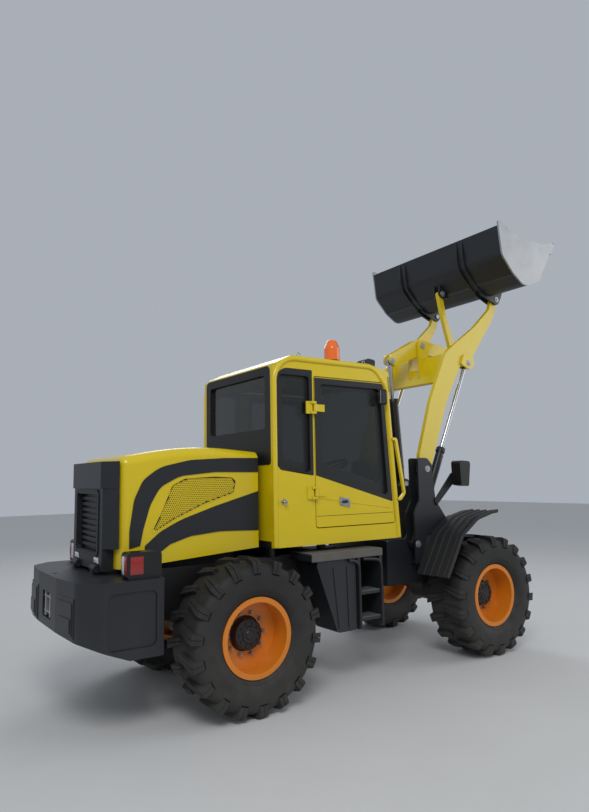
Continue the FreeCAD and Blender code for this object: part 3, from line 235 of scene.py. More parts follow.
# %% Helpers for surfaces
def piece(name, points, faces, material, body, slot=None, smooth=True):
    """A mesh object at the origin with its points in metres, riding on a body."""
    mesh = bpy.data.meshes.new(name)
    mesh.from_pydata(np.asarray(points, float).tolist(), [], [list(map(int, face)) for face in faces])
    mesh.update()
    mesh.materials.append(material)
    mesh.polygons.foreach_set("use_smooth", [smooth] * len(mesh.polygons))
    thing = bpy.data.objects.new(name, mesh)
    bpy.context.scene.collection.objects.link(thing)
    if smooth:
        mesh.set_sharp_from_angle(angle=math.radians(35))
    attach(thing, body)
    return thing


def skin(rows, columns, close_rows=False, close_columns=True):
    """Quads over a grid of rows x columns points; closing joins the last line to the first."""
    down = np.arange(rows if close_rows else rows - 1)
    over = np.arange(columns if close_columns else columns - 1)
    row, column = np.meshgrid(down, over, indexing="ij")
    row, column = row.ravel(), column.ravel()
    below, beside = (row + 1) % rows, (column + 1) % columns
    return np.stack([row * columns + column, row * columns + beside,
                     below * columns + beside, below * columns + column], 1)


def join(parts):
    """Several (points, faces) as one pair."""
    points, faces, count = [], [], 0
    for spots, loops in parts:
        points.append(np.asarray(spots, float))
        faces.extend([[index + count for index in loop] for loop in loops])
        count += len(spots)
    return np.concatenate(points), faces


def turned(section, centre, side=1, steps=64):
    """A section of (radius, across) turned round the Y axis through centre: x = r cos a, z = r sin a."""
    radius, across = np.array(section, float).T
    angle = np.arange(steps) * 2 * math.pi / steps
    x = radius[:, None] * np.cos(angle)
    z = radius[:, None] * np.sin(angle)
    y = np.broadcast_to(side * across[:, None], x.shape)
    points = np.stack([x, y, z], 2).reshape(-1, 3) + np.array(centre)
    faces = skin(len(section), steps)
    return points, (faces if side > 0 else faces[:, ::-1]).tolist()


def block(low, high, bevel=0.006):
    """A box with its twelve edges taken off: eight corners, each split into three points."""
    low, high = np.array(low, float), np.array(high, float)
    signs = np.array([(a, b, c) for a in (-1, 1) for b in (-1, 1) for c in (-1, 1)], float)
    middle, half = (low + high) / 2, (high - low) / 2
    spots = [middle + signs * (half - bevel * (1 - np.eye(3)[axis])) for axis in range(3)]
    return hull(np.concatenate(spots))


def hull(points):
    """The convex skin round some points, as (points, faces)."""
    work = bmesh.new()
    for spot in points:
        work.verts.new(spot)
    bmesh.ops.convex_hull(work, input=work.verts)
    work.verts.index_update()
    spots = [tuple(vert.co) for vert in work.verts]
    faces = [[vert.index for vert in face.verts] for face in work.faces]
    work.free()
    return np.array(spots), faces


def rounded(corners, steps=6):
    """A closed outline of (x, z, radius) corners as points, each corner replaced by its arc."""
    corners = np.array([(*spot, 0)[:3] for spot in corners], float)
    out = []
    for number, (x, z, radius) in enumerate(corners):
        here = np.array((x, z))
        back = corners[number - 1, :2] - here
        forth = corners[(number + 1) % len(corners), :2] - here
        back, forth = back / np.linalg.norm(back), forth / np.linalg.norm(forth)
        half = math.acos(np.clip(back @ forth, -1, 1)) / 2
        if radius <= 0 or half > 1.55:
            out.append(here[None])
            continue
        start, end = here + back * radius / math.tan(half), here + forth * radius / math.tan(half)
        middle = here + (back + forth) / np.linalg.norm(back + forth) * radius / math.sin(half)
        share = np.linspace(0, 1, steps)[:, None]
        arc = start * (1 - share) + end * share - middle
        out.append(middle + arc / np.linalg.norm(arc, axis=1)[:, None] * radius)
    return np.concatenate(out)


def grown(outline, distance):
    """A closed outline with each point moved outwards along its own normal."""
    along = np.roll(outline, -1, 0) - np.roll(outline, 1, 0)
    along /= np.linalg.norm(along, axis=1)[:, None]
    normal = np.stack([along[:, 1], -along[:, 0]], 1)
    x, z = outline.T
    area = np.sum(x * np.roll(z, -1) - np.roll(x, -1) * z)
    return outline + normal * distance * (1 if area > 0 else -1)


def ring_plate(outline, width, low, high):
    """A flat band round an outline in the side plane, between two levels of Y."""
    wide = grown(outline, width)
    sections = [(outline, low), (outline, high), (wide, high), (wide, low)]
    rows = [at_level(line, y) for line, y in sections]
    return np.concatenate(rows), skin(4, len(outline), close_rows=True).tolist()


def hexagon(centre, radius, low, high, axis=1):
    """A bolt head: a six-sided prism along an axis, its outer rim chamfered."""
    angle = np.arange(6) * math.pi / 3
    flat = np.stack([np.cos(angle), np.sin(angle)], 1)
    rows = [(radius, low), (radius, low + (high - low) * 0.8), (radius * 0.86, high)]
    points = []
    for size, level in rows:
        ring = np.insert(flat * size, axis, level, axis=1)
        offset = np.array(centre, float)
        offset[axis] = 0
        points.append(ring + offset)
    return np.concatenate(points), skin(3, 6).tolist() + [[12, 13, 14, 15, 16, 17]]


def outwards(thing):
    """Turns a mesh's faces outwards."""
    work = bmesh.new()
    work.from_mesh(thing.data)
    bmesh.ops.remove_doubles(work, verts=work.verts, dist=1e-6)
    bmesh.ops.recalc_face_normals(work, faces=work.faces)
    work.to_mesh(thing.data)
    work.free()
    return thing


def add(name, shape, material, body, slot, smooth=True):
    """A piece made from one (points, faces) pair, with its faces turned outwards."""
    return outwards(piece(name, *shape, material, body, slot, smooth))


def span(side, near, far):
    """Two distances from the middle as ordered levels of Y on one side."""
    return sorted((side * near, side * far))


def at_level(line, y):
    """Points (x, z) of an outline as points of space at a level of Y."""
    return np.stack([line[:, 0], np.full(len(line), y), line[:, 1]], 1)


SIDES = (("left", 1), ("right", -1))
CAB_SIDE, GLASS_SIDE = 0.600, 0.5752
AXLE_AHEAD, HALF_TRACK, AXLE_LEVEL = 1.29, 0.71, 0.54
WHEELS = [(end, ahead, name, side) for end, ahead in (("front", AXLE_AHEAD), ("rear", -AXLE_AHEAD))
          for name, side in SIDES]
print("wheels", [f"{end} {name}" for end, ahead, name, side in WHEELS])

# %% [markdown]
# ## Tyres
# A loader tyre is a fat ring with heavy lugs that meet its middle in a herringbone. The casing is
# one section turned round the axle. A lug is a short bar of six sections, from the tread's middle
# over the shoulder, and all lugs of a side are that bar turned about the axle in one broadcast.

# %% Tyres with lugs
CASING = [(0.2554, -0.1526), (0.2554, 0.1526), (0.282, 0.1526), (0.290, 0.166), (0.306, 0.180),
          (0.312, 0.180),
          (0.322, 0.189), (0.350, 0.197), (0.392, 0.200), (0.430, 0.200), (0.462, 0.196), (0.486, 0.186),
          (0.500, 0.168), (0.505, 0.130), (0.508, 0.0), (0.505, -0.130), (0.500, -0.168), (0.486, -0.186),
          (0.462, -0.196), (0.430, -0.200), (0.392, -0.200), (0.350, -0.197), (0.322, -0.189),
          (0.312, -0.180),
          (0.306, -0.180), (0.290, -0.166), (0.282, -0.1526)]
# across, outer radius, inner radius, half width
LUG = [(0.010, 0.5385, 0.500, 0.022), (0.070, 0.5395, 0.500, 0.026), (0.130, 0.5395, 0.496, 0.031),
       (0.172, 0.5375, 0.480, 0.033), (0.194, 0.5280, 0.460, 0.034), (0.2035, 0.5060, 0.448, 0.033),
       (0.2035, 0.4600, 0.442, 0.030)]
LUG_COUNT, LUG_SLANT, LUG_SLIT = 18, 0.050, 0.004


def lugs(side, phase):
    """Each station's four corners sit at angle (slant + offset) / radius on its inner and outer
    radius; the bar is doubled beside a slit and turned LUG_COUNT times."""
    across, outer, inner, half = np.array(LUG).T
    slant = LUG_SLANT * (across / across.max() - 0.5)
    angle = (np.arange(LUG_COUNT) + phase) * 2 * math.pi / LUG_COUNT
    parts = []
    for edges in ((-1, -1), (1, 1)):
        near = slant + edges[0] * LUG_SLIT / 2
        far = slant + edges[1] * half
        offset = np.stack([near, far, far * 0.98 + slant * 0.02, near], 1)
        radius = np.stack([inner, inner, outer, outer], 1)
        turn = offset / 0.5 + angle[:, None, None]
        x, z = radius * np.cos(turn), radius * np.sin(turn)
        y = np.broadcast_to(side * across[:, None], x.shape)
        bars = np.stack([x, y, z], 3).reshape(LUG_COUNT, -1, 3)
        rows = len(LUG)
        faces = skin(rows, 4).tolist() + [[3, 2, 1, 0], [4 * rows - 4 + n for n in range(4)]]
        parts += [(bar, faces) for bar in bars]
    return parts


for end, ahead, name, side in WHEELS:
    centre = np.array((ahead, side * HALF_TRACK, AXLE_LEVEL))
    casing, faces = turned(CASING + CASING[:1], (0, 0, 0), steps=96)
    spots, faces = join([(casing, faces)] + lugs(1, 0.0) + lugs(-1, 0.5))
    tyre = piece(f"tread_{end}_{name}", spots + centre, faces, RUBBER, f"wheel_{end}_{name}", "tyre_rubber")
    outwards(tyre)
    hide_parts(f"tyre_{end}_{name}")
print("lugs on each tyre", 2 * LUG_COUNT)

# %% [markdown]
# ## Hubs and wheel nuts
# The axle's planet hub is black with a ring of bolts, and silver nuts hold the orange disc to it.
# The hub is one turned section; the bolts and nuts are six-sided prisms placed by an angle.

# %% Hubs, bolts and nuts
HUB = [(0.0, 0.062), (0.030, 0.062), (0.036, 0.056), (0.056, 0.054), (0.062, 0.046), (0.092, 0.044),
       (0.108, 0.034), (0.112, 0.0), (0.118, -0.020), (0.126, -0.024), (0.0, -0.024)]
for end, ahead, name, side in WHEELS:
    body = f"wheel_{end}_{name}"
    centre = np.array((ahead, side * HALF_TRACK, AXLE_LEVEL))
    hub = piece(f"hub_{end}_{name}", *turned(HUB, centre, side), BLACK, body, "black_paint")
    outwards(hub)
    spin = np.arange(10) * 2 * math.pi / 10
    ring = np.stack([np.cos(spin), np.zeros(10), np.sin(spin)], 1)
    heads = [hexagon(centre + ring[n] * 0.080, 0.010, centre[1] + side * 0.040, centre[1] + side * 0.053)
             for n in range(10)]
    add(f"hub_bolts_{end}_{name}", join(heads), BLACK, body, "black_paint", smooth=False)
    nuts = [hexagon(centre + ring[n] * 0.150, 0.015, centre[1] - side * 0.030, centre[1] - side * 0.004)
            for n in range(10)]
    studs = [hexagon(centre + ring[n] * 0.150, 0.008, centre[1] - side * 0.010, centre[1] + side * 0.010)
             for n in range(10)]
    add(f"wheel_nuts_{end}_{name}", join(nuts + studs), STEEL, body, "steel", smooth=False)
print("bolts and nuts on each wheel", len(heads), len(nuts))

# %% [markdown]
# ## Glass borders and door frames
# On the real cab the whole dark field between the pillars is black: the panes have printed
# borders, and the door's steel frame round them is black too. Each border is a flat band between
# two outlines with the same corners, so that point n of one faces point n of the other.

# %% Borders between two outlines
def between(outer, inner, low, high):
    """A flat ring in the side plane between two rounded outlines with the same number of points."""
    lines = [(rounded(inner), low), (rounded(inner), high), (rounded(outer), high), (rounded(outer), low)]
    rows = [at_level(line, y) for line, y in lines]
    return np.concatenate(rows), skin(4, len(rows[0]), close_rows=True).tolist()


DOOR_GLASS = [(-0.509, 1.690, 0.04), (0.247, 1.475, 0.04), (0.186, 2.444, 0.05), (-0.509, 2.444, 0.05)]
DOOR_CLEAR = [(-0.462, 1.775, 0.05), (0.175, 1.592, 0.05), (0.130, 2.400, 0.09), (-0.462, 2.400, 0.04)]
DOOR_FIELD = [(-0.554, 1.672, 0.01), (0.291, 1.432, 0.01), (0.216, 2.486, 0.03), (-0.554, 2.486, 0.01)]
REAR_GLASS = [(-0.600, 1.685, 0.04), (-0.600, 2.500, 0.04), (-0.920, 2.500, 0.04), (-0.920, 1.720, 0.04)]
REAR_CLEAR = [(-0.645, 1.770, 0.04), (-0.645, 2.440, 0.04), (-0.868, 2.440, 0.09), (-0.868, 1.810, 0.04)]
REAR_FIELD = [(-0.577, 1.668, 0.01), (-0.577, 2.545, 0.01), (-0.942, 2.545, 0.12), (-0.942, 1.765, 0.01)]
for name, side in SIDES:
    for label, body, glass, clear, field in (("door", f"{name}_door", DOOR_GLASS, DOOR_CLEAR, DOOR_FIELD),
                                             ("quarter", "rear", REAR_GLASS, REAR_CLEAR, REAR_FIELD)):
        printed = between(glass, clear, *span(side, GLASS_SIDE, 0.5765))
        frame_face = between(field, glass, *span(side, 0.5995, 0.6022))
        reveal = ring_plate(grown(rounded(glass), -0.009), 0.0092, *span(side, GLASS_SIDE, 0.6015))
        add(f"{label}_border_{name}", join([printed, frame_face, reveal]),
            PLASTIC, body, "black_plastic", smooth=False)

rear_glass = rounded([(-0.490, 2.040, 0.04), (0.490, 2.040, 0.04),
                      (0.490, 2.500, 0.04), (-0.490, 2.500, 0.04)])
rear_field = rounded([(-0.560, 1.760, 0.03), (0.560, 1.760, 0.03),
                      (0.560, 2.560, 0.05), (-0.560, 2.560, 0.05)])
rear_inner = grown(rear_glass, -0.010)
# how far back the border starts inside, its face, and where its outer edge meets the wall
REVEAL_BACK, BORDER_BACK, WALL_BACK = -0.9405, -0.9675, -0.9645
lines = [(rear_inner, REVEAL_BACK), (rear_inner, BORDER_BACK), (rear_field, BORDER_BACK),
         (rear_field, WALL_BACK)]
rows = [np.stack([np.full(len(line), x), line[:, 0], line[:, 1]], 1) for line, x in lines]
rear_band = (np.concatenate(rows), skin(4, len(rows[0]), close_rows=True).tolist())
add("rear_border", rear_band, PLASTIC, "rear", "black_plastic", smooth=False)
print("borders", 2 * len(SIDES) + 1)

# %% [markdown]
# ## The cab's outer frame
# A bent yellow tube runs up the rear pillar, over the door and down the windscreen pillar. It is one
# section carried along a path in the side plane. The path's corners are rounded like any outline.

# %% Pillar tubes
def front_line(level, back=0.022):
    """The slanted line of the windscreen pillar, a little behind the cab's front face."""
    return 0.379 - 0.105 * (level - 1.110) / 1.445 - back


def path_in_side(corners, y, steps=8):
    """An open path of (x, z, radius) corners as points at a level of Y."""
    first, last = corners[0], corners[-1]
    line = rounded([(*first[:2], 0), *corners[1:-1], (*last[:2], 0)], steps)
    return at_level(line, y)


def side_tube(path, wide, deep, count=12):
    """A flattened tube along a path in the side plane: wide in the plane and deep across it."""
    angle = np.arange(count) * 2 * math.pi / count
    ahead = np.gradient(path, axis=0)
    ahead /= np.linalg.norm(ahead, axis=1)[:, None]
    aside = np.array((0, 1.0, 0))
    up = np.cross(ahead, aside)
    points = (path[:, None] + aside * (deep * np.sin(angle))[None, :, None]
              + up[:, None] * (wide * np.cos(angle))[None, :, None])
    last = (len(path) - 1) * count
    faces = skin(len(path), count).tolist() + [list(range(count)), [last + n for n in range(count)]]
    return points.reshape(-1, 3), faces


PILLAR = [(-0.952, 1.118), (-0.952, 2.628, 0.20), (0.060, 2.628, 0.0), (0.140, 2.600, 0.16),
          (front_line(2.46), 2.46, 0.16), (front_line(1.118), 1.118)]
for name, side in SIDES:
    path = path_in_side(PILLAR, side * 0.602)
    add(f"pillar_tube_{name}", side_tube(path, 0.021, 0.013), YELLOW, "rear", "yellow_paint")
print("pillar tubes", len(SIDES))

# %% [markdown]
# ## Door furniture
# The door opens by a pressed steel paddle handle in a square dish, and a round catch on the body
# behind it holds it open. A crease and a seam divide the lower panel.

# %% Handle, catch, seam and crease
for name, side in SIDES:
    door = f"{name}_door"
    dish = between([(-0.312, 1.492, 0.008), (-0.312, 1.428, 0.008),
                    (-0.204, 1.398, 0.008), (-0.204, 1.462, 0.008)],
                   [(-0.300, 1.478, 0.008), (-0.300, 1.436, 0.008),
                    (-0.216, 1.412, 0.008), (-0.216, 1.454, 0.008)],
                   *span(side, CAB_SIDE, 0.609))
    low, high = span(side, CAB_SIDE, 0.604)
    face = block((-0.304, low, 1.412), (-0.212, high, 1.478), 0.003)
    add(f"handle_dish_{name}", join([dish, face]), STEEL, door, "steel", smooth=False)
    low, high = span(side, 0.604, 0.615)
    paddle = block((-0.286, low, 1.436), (-0.232, high, 1.458), 0.003)
    add(f"handle_paddle_{name}", paddle, PLASTIC, door, "black_plastic", smooth=False)
    low, high = span(side, 0.5995, 0.6006)
    seam = block((-0.552, low, 1.336), (0.300, high, 1.340), 0.0004)
    add(f"door_seam_{name}", seam, PLASTIC, door, "black_plastic", smooth=False)
    crease = hull([(-0.552, side * CAB_SIDE, 1.500), (-0.552, side * 0.606, 1.496),
                   (-0.552, side * CAB_SIDE, 1.478), (0.262, side * CAB_SIDE, 1.378),
                   (0.262, side * 0.603, 1.376), (0.262, side * CAB_SIDE, 1.372)])
    add(f"door_crease_{name}", crease, YELLOW, door, "yellow_paint", smooth=False)
    catch = [(0.0, 0.040), (0.014, 0.038), (0.017, 0.030), (0.011, 0.024), (0.011, 0.012), (0.024, 0.010),
             (0.027, 0.000), (0.0, 0.0)]
    add(f"door_catch_{name}", turned(catch, (-0.873, side * CAB_SIDE, 1.465), side, 28),
        CHROME, "rear", "chrome_rod")
print("each door has a dish, a paddle, a seam, a crease and a catch")

# %% [markdown]
# ## Mirrors
# A mirror is a soft-edged box on a short arm, with a bright plate let into its rear face.

# %% Mirrors on the windscreen pillars
for name, side in SIDES:
    low, high = span(side, 0.622, 0.668)
    shell = block((0.135, low, 2.290), (0.215, high, 2.430), 0.014)
    near, far = span(side, CAB_SIDE, 0.630)
    arm = block((0.185, near, 2.345), (0.207, far, 2.372), 0.004)
    add(f"mirror_shell_{name}", join([shell, arm]), PLASTIC, "rear", "black_plastic", smooth=False)
    plate = block((0.131, low + 0.006, 2.300), (0.136, high - 0.006, 2.420), 0.002)
    add(f"mirror_face_{name}", plate, CHROME, "rear", "chrome_rod", smooth=False)
print("mirrors", len(SIDES))

# %% [markdown]
# ## Lifting eyes
# Small wire rings on the roof's edge. Each is a circle of wire carried round a larger circle.

# %% Lifting eyes on the roof's edge
EYE_TURN = np.arange(20) * 2 * math.pi / 20
EYE, WIRE, EYE_SIDE = 0.016, 4e-3, 0.585
eyes = []
for ahead, level in ((-0.70, 2.668), (0.010, 2.662), (0.150, 2.606)):
    for name, side in SIDES:
        path = np.stack([ahead + EYE * np.cos(EYE_TURN), np.full(20, side * EYE_SIDE),
                         level + EYE * np.sin(EYE_TURN)], 1)
        wire = np.stack([WIRE * np.cos(EYE_TURN[::2]), WIRE * np.sin(EYE_TURN[::2])], 1)
        out = (path - (ahead, side * EYE_SIDE, level)) / EYE
        points = (path[:, None] + out[:, None] * wire[None, :, :1]
                  + np.array((0, 1, 0)) * wire[None, :, 1:])
        eyes.append((points.reshape(-1, 3), skin(20, 10, close_rows=True).tolist()))
add("roof_eyes", join(eyes), STEEL, "rear", "steel")
print("lifting eyes", len(eyes))

# %% [markdown]
# ## The hood's mesh
# The vent in the hood is a yellow sheet punched with small holes. Punching a mesh is slow, so each
# hole is built as the six-sided rim round it: an outer hexagon, an inner one, and the hole's wall.
# One rim is copied to every cell centre that lies inside the vent's outline.

# %% Punched vent panels
VENT = [(-1.924, 1.262, 0.012), (-1.827, 1.451, 0.3), (-1.758, 1.616, 0.06), (-1.655, 1.664, 0.08),
        (-1.405, 1.676, 0.3), (-1.257, 1.668, 0.03), (-1.221, 1.636, 0.02), (-1.240, 1.545, 0.02),
        (-1.490, 1.470, 0.4), (-1.733, 1.366, 0.3), (-1.870, 1.292, 0.06)]
vent_line = rounded(VENT, 8)
CELL, HOLE = 0.0165, 0.0052
VENT_FACE, VENT_BACK = 0.4485, 0.4465


def inside(points, outline):
    """Whether points lie inside a closed outline: a ray to the right crosses its sides an odd
    number of times."""
    x, z = points.T
    ax, az = outline.T
    bx, bz = np.roll(outline, -1, 0).T
    crosses = (az[None] > z[:, None]) != (bz[None] > z[:, None])
    with np.errstate(divide="ignore", invalid="ignore"):
        meet = (bx - ax)[None] * (z[:, None] - az[None]) / (bz - az)[None] + ax[None]
    return (crosses & (x[:, None] < meet)).sum(1) % 2 == 1


row, column = np.mgrid[0:40, 0:60]
centres = np.stack([(-1.95 + (column + (row % 2) / 2) * CELL).ravel(),
                    (1.24 + row * CELL * 0.866).ravel()], 1)
centres = centres[inside(centres, grown(vent_line, -0.010))]
six = np.arange(6) * math.pi / 3 + math.pi / 6
corner = np.stack([np.cos(six), np.sin(six)], 1)
for name, side in SIDES:
    rows = []
    for size, level in ((CELL / math.sqrt(3), VENT_FACE), (HOLE, VENT_FACE), (HOLE, VENT_BACK)):
        flat = centres[:, None] + corner[None] * size
        rows.append(np.insert(flat, 1, side * level, axis=2))
    points = np.stack(rows, 1).reshape(-1, 3)
    one = skin(3, 6)
    faces = (one[None] + (np.arange(len(centres)) * 18)[:, None, None]).reshape(-1, 4)
    if side > 0:
        faces = faces[:, ::-1]
    piece(f"vent_mesh_{name}", points, faces.tolist(), YELLOW, "hood", "yellow_paint", smooth=False)
    add(f"vent_rim_{name}",
        ring_plate(grown(vent_line, -0.003), 0.007, *span(side, 0.4465, 0.4525)),
        YELLOW, "hood", "yellow_paint", smooth=False)
print("holes in each vent", len(centres))

# %% [markdown]
# ## Lamps
# A tail lamp is a black box with a clear and a red lens on its rear face and a red one on its
# side. A headlamp's lens closes the front of its housing. All lenses are thin pillows.

# %% Tail lamps, headlamps and roof lamps
def pillow(low, high, axis, swell, steps=7):
    """A thin lens between two corners that swells along an axis by swell * (1-u^4) * (1-v^4)."""
    low, high = np.array(low, float), np.array(high, float)
    other = [n for n in range(3) if n != axis]
    u, v = np.meshgrid(np.linspace(-1, 1, steps), np.linspace(-1, 1, steps), indexing="ij")
    middle, half = (low + high) / 2, (high - low) / 2
    points = np.empty((steps * steps, 3))
    points[:, other[0]] = (middle[other[0]] + half[other[0]] * u).ravel()
    points[:, other[1]] = (middle[other[1]] + half[other[1]] * v).ravel()
    base = low[axis] if swell < 0 else high[axis]
    points[:, axis] = (base + swell * (1 - u ** 4) * (1 - v ** 4)).ravel()
    bottom = points.copy()
    bottom[:, axis] = high[axis] if swell < 0 else low[axis]
    grid = skin(steps, steps, close_columns=False)
    edge = np.concatenate([np.arange(steps), np.arange(1, steps) * steps + steps - 1,
                           np.arange(steps - 2, -1, -1) + steps * (steps - 1),
                           np.arange(steps - 2, 0, -1) * steps])
    count = steps * steps
    walls = [[a, b, b + count, a + count] for a, b in zip(edge, np.roll(edge, -1))]
    return np.concatenate([points, bottom]), grid.tolist() + (grid[:, ::-1] + count).tolist() + walls


BEZEL = ((1.3015, 1.562), (1.3065, 1.562), (1.3312, 1.778), (1.3362, 1.778))
ROOF_LENS = ((0.2265, 2.640), (0.2290, 2.640), (0.2325, 2.705), (0.2350, 2.705))
for name, side in SIDES:
    inner, outer = span(side, 0.575, 0.622), span(side, 0.626, 0.668)
    add(f"tail_lens_clear_{name}",
        pillow((-2.172, inner[0], 1.030), (-2.168, inner[1], 1.150), 0, -0.007),
        CLEAR, "rear", "lamp_red")
    add(f"tail_lens_red_{name}",
        pillow((-2.172, outer[0], 1.030), (-2.168, outer[1], 1.150), 0, -0.007),
        RED, "rear", "lamp_red")
    flank = span(side, 0.6785, 0.682)
    add(f"tail_lens_side_{name}",
        pillow((-2.150, flank[0], 1.032), (-2.060, flank[1], 1.148), 1, side * 0.004),
        RED, "rear", "lamp_red")
    lens = span(side, 0.520, 0.608)
    slope = [(1.3015, 1.575), (1.3065, 1.575), (1.3300, 1.765), (1.3350, 1.765)]
    shown = hull([(x, y, z) for x, z in slope for y in lens])
    add(f"headlamp_lens_{name}", shown, CLEAR, "front", "black_plastic", smooth=False)
    add(f"headlamp_bezel_{name}",
        hull([(x - 0.006, y, z) for x, z in BEZEL for y in span(side, 0.511, 0.616)]),
        CHROME, "front", "chrome_rod", smooth=False)
    roof = span(side, 0.375, 0.475)
    add(f"roof_lamp_lens_{name}",
        hull([(x, y, z) for x, z in ROOF_LENS for y in roof]),
        CLEAR, "rear", "black_plastic", smooth=False)
print("lenses on each side", 5)

# %% [markdown]
# ## Beacon base
# The amber beacon stands on a black foot: a section turned round Y and then stood upright.

# %% Beacon base
FOOT = [(0.0, 0.0), (0.074, 0.0), (0.074, 0.014), (0.060, 0.032), (0.0, 0.032)]
points, faces = turned(FOOT, (0, 0, 0), 1, 40)
upright = points[:, [0, 2, 1]] + np.array((-0.200, -0.400, 2.655))
outwards(piece("beacon_base", upright, faces, PLASTIC, "rear", "black_plastic"))
print("beacon base", round(float(np.ptp(upright[:, 0])), 3), "across")

# %% [markdown]
# ## Counterweight and radiator
# The rear casting has a stepped panel pressed into each corner and bright brackets for the tow
# pin in its middle recess. The radiator grille sits in a frame, with two reflectors below it.

# %% Panels on the counterweight
def rear_face(y):
    """How far back the casting's bowed rear face is at a distance from the middle."""
    return -2.476 - 0.034 * (0.590 - np.abs(y)) / 0.34


# nearest and farthest from the middle, lowest and highest
PANEL_STEPS = ((0.255, 0.560, 0.640, 0.905), (0.300, 0.545, 0.655, 0.880), (0.345, 0.530, 0.670, 0.780))
for name, side in SIDES:
    steps = []
    for number, (near, far, low, high) in enumerate(PANEL_STEPS):
        proud = 0.006 * (number + 1)
        spots = [(rear_face(y) - rise, side * y, z + tuck) for y in (near, far)
                 for z, tuck_sign in ((low, 1), (high, -1))
                 for rise, tuck in ((-0.01, 0), (proud, 0.010 * tuck_sign))]
        steps.append(hull(spots))
    add(f"weight_panel_{name}", join(steps), DARK, "rear", "dark_paint", smooth=False)
recess = [block((-2.505, side * 0.060 - 0.009, 0.705), (-2.410, side * 0.060 + 0.009, 0.875), 0.003)
          for side in (1, -1)]
recess += [block((-2.500, -0.112, level), (-2.420, 0.112, level + 0.014), 0.003) for level in (0.730, 0.835)]
add("hitch_brackets", join(recess), STEEL, "rear", "steel", smooth=False)

# %% Radiator frame and reflectors
grille = rounded([(-0.246, 1.144, 0.02), (0.246, 1.144, 0.02), (0.246, 1.566, 0.02), (-0.246, 1.566, 0.02)])
points, faces = ring_plate(grille, 0.026, -2.243, -2.229)
outwards(piece("grille_frame", points[:, [1, 0, 2]], faces, PLASTIC, "hood", "black_plastic", smooth=False))
reflectors = [pillow((-2.242, side * 0.235 - 0.045, 1.075), (-2.236, side * 0.235 + 0.045, 1.115), 0, -0.004)
              for side in (1, -1)]
add("rear_reflectors", join(reflectors), CLEAR, "hood", "black_plastic")
print("reflectors", len(reflectors))

# %% [markdown]
# ## Steps
# The ladder's frame is a bent tube that turns forward under the deck, and each rung has a
# toothed edge against mud. The deck is a grey-brown board of slip-resistant sheet.

# %% Ladder tubes, rung teeth, deck and box ribs
DECK = finish("deck_sheet", (0.11, 0.10, 0.088), 0.7, spread=0.2, slow=12, grain=150, bump=0.5, dust=0.3)
for name, side in SIDES:
    tubes = []
    for foot, turn in ((-0.221, -0.330), (0.021, -0.180)):
        path = path_in_side([(foot, 0.432), (foot, 0.960, 0.07), (turn, 0.978)], side * 0.724)
        tubes.append(side_tube(path, 0.013, 0.013))
    add(f"ladder_tubes_{name}", join(tubes), BLACK, "rear", "black_paint")
    teeth = []
    for level in (0.505, 0.715):
        for ahead in np.linspace(-0.190, -0.010, 10):
            low, high = span(side, 0.562, 0.722)
            teeth.append(block((ahead - 0.004, low, level), (ahead + 0.004, high, level + 0.006), 0.001))
    add(f"rung_teeth_{name}", join(teeth), STEEL, "rear", "steel", smooth=False)
    low, high = span(side, 0.424, 0.718)
    board = block((-0.698, low, 1.0495), (0.038, high, 1.0545), 0.002)
    add(f"deck_board_{name}", board, DECK, "rear", "dark_paint", smooth=False)
    low, high = span(side, 0.716, 0.724)
    edge = block((-0.700, low, 0.992), (0.040, high, 1.052), 0.002)
    add(f"deck_edge_{name}", edge, DECK, "rear", "dark_paint", smooth=False)
    ribs = [hull([(ahead, side * y, level) for ahead, level in (
        (x - 0.006, 0.930), (x + 0.006, 0.930), (x + shift - 0.006, 0.450), (x + shift + 0.006, 0.450))
                  for y in (0.708, 0.716)]) for x, shift in ((-0.480, 0.050), (-0.340, 0.010))]
    add(f"box_ribs_{name}", join(ribs), DARK, "rear", "dark_paint", smooth=False)
print("rung teeth on each side", len(teeth))

# %% [markdown]
# ## Fenders
# The front fenders are plastic arches, stiffened by ribs along the arch and by a rolled lip at
# the outer edge. Both follow the fender's own outline.

# %% Ribs and lips
ARCH = [(1.355, 1.314), (1.280, 1.308, 0.2), (1.070, 1.260, 0.2), (0.855, 1.120, 0.2), (0.735, 0.917, 0.15),
        (0.640, 0.764)]
for name, side in SIDES:
    ribs = [side_tube(path_in_side(ARCH, side * y), 0.009, 0.014, 8) for y in (0.600, 0.680, 0.760, 0.840)]
    ribs.append(side_tube(path_in_side(ARCH, side * 0.898), 0.016, 0.010, 10))
    add(f"fender_ribs_{name}", join(ribs), FENDER, "front", "dark_plastic")
print("ribs on each fender", len(ribs))

# %% [markdown]
# ## Linkage hardware
# Every pin of the linkage ends in a bright washer with a bolt, and each cylinder has a gland ring
# and a steel pipe along its barrel. The pipe is a tube carried between two points of the barrel.

# %% Pin caps
CAP = [(0.0, 0.012), (0.012, 0.012), (0.014, 0.006), (0.030, 0.006), (0.033, 0.0), (0.0, 0.0)]
CAPS = [
    # name, body, ahead, level, distance from the middle
    ("rod_eye", "rocker_body", 0.877, 2.849, 0.050), ("rocker", "boom_arms", 1.295, 3.047, 0.084),
    ("bucket_pin", "boom_arms", 2.060, 3.575, 0.481), ("lift_eye", "boom_arms", 1.557, 2.820, 0.475),
    ("boom_pivot", "front", 0.860, 1.720, 0.495), ("lift_base", "front", 0.700, 1.020, 0.495),
    ("link_pin", "bucket", 1.678, 3.692, 0.054), ("link_rocker", "rocker_body", 1.880, 3.000, 0.050),
]
for label, body, ahead, level, out in CAPS:
    caps = [turned(CAP, (ahead, side * out, level), side, 24) for name, side in SIDES]
    add(f"{label}_caps", join(caps), STEEL, body, "steel")
print("pairs of pin caps", len(CAPS))

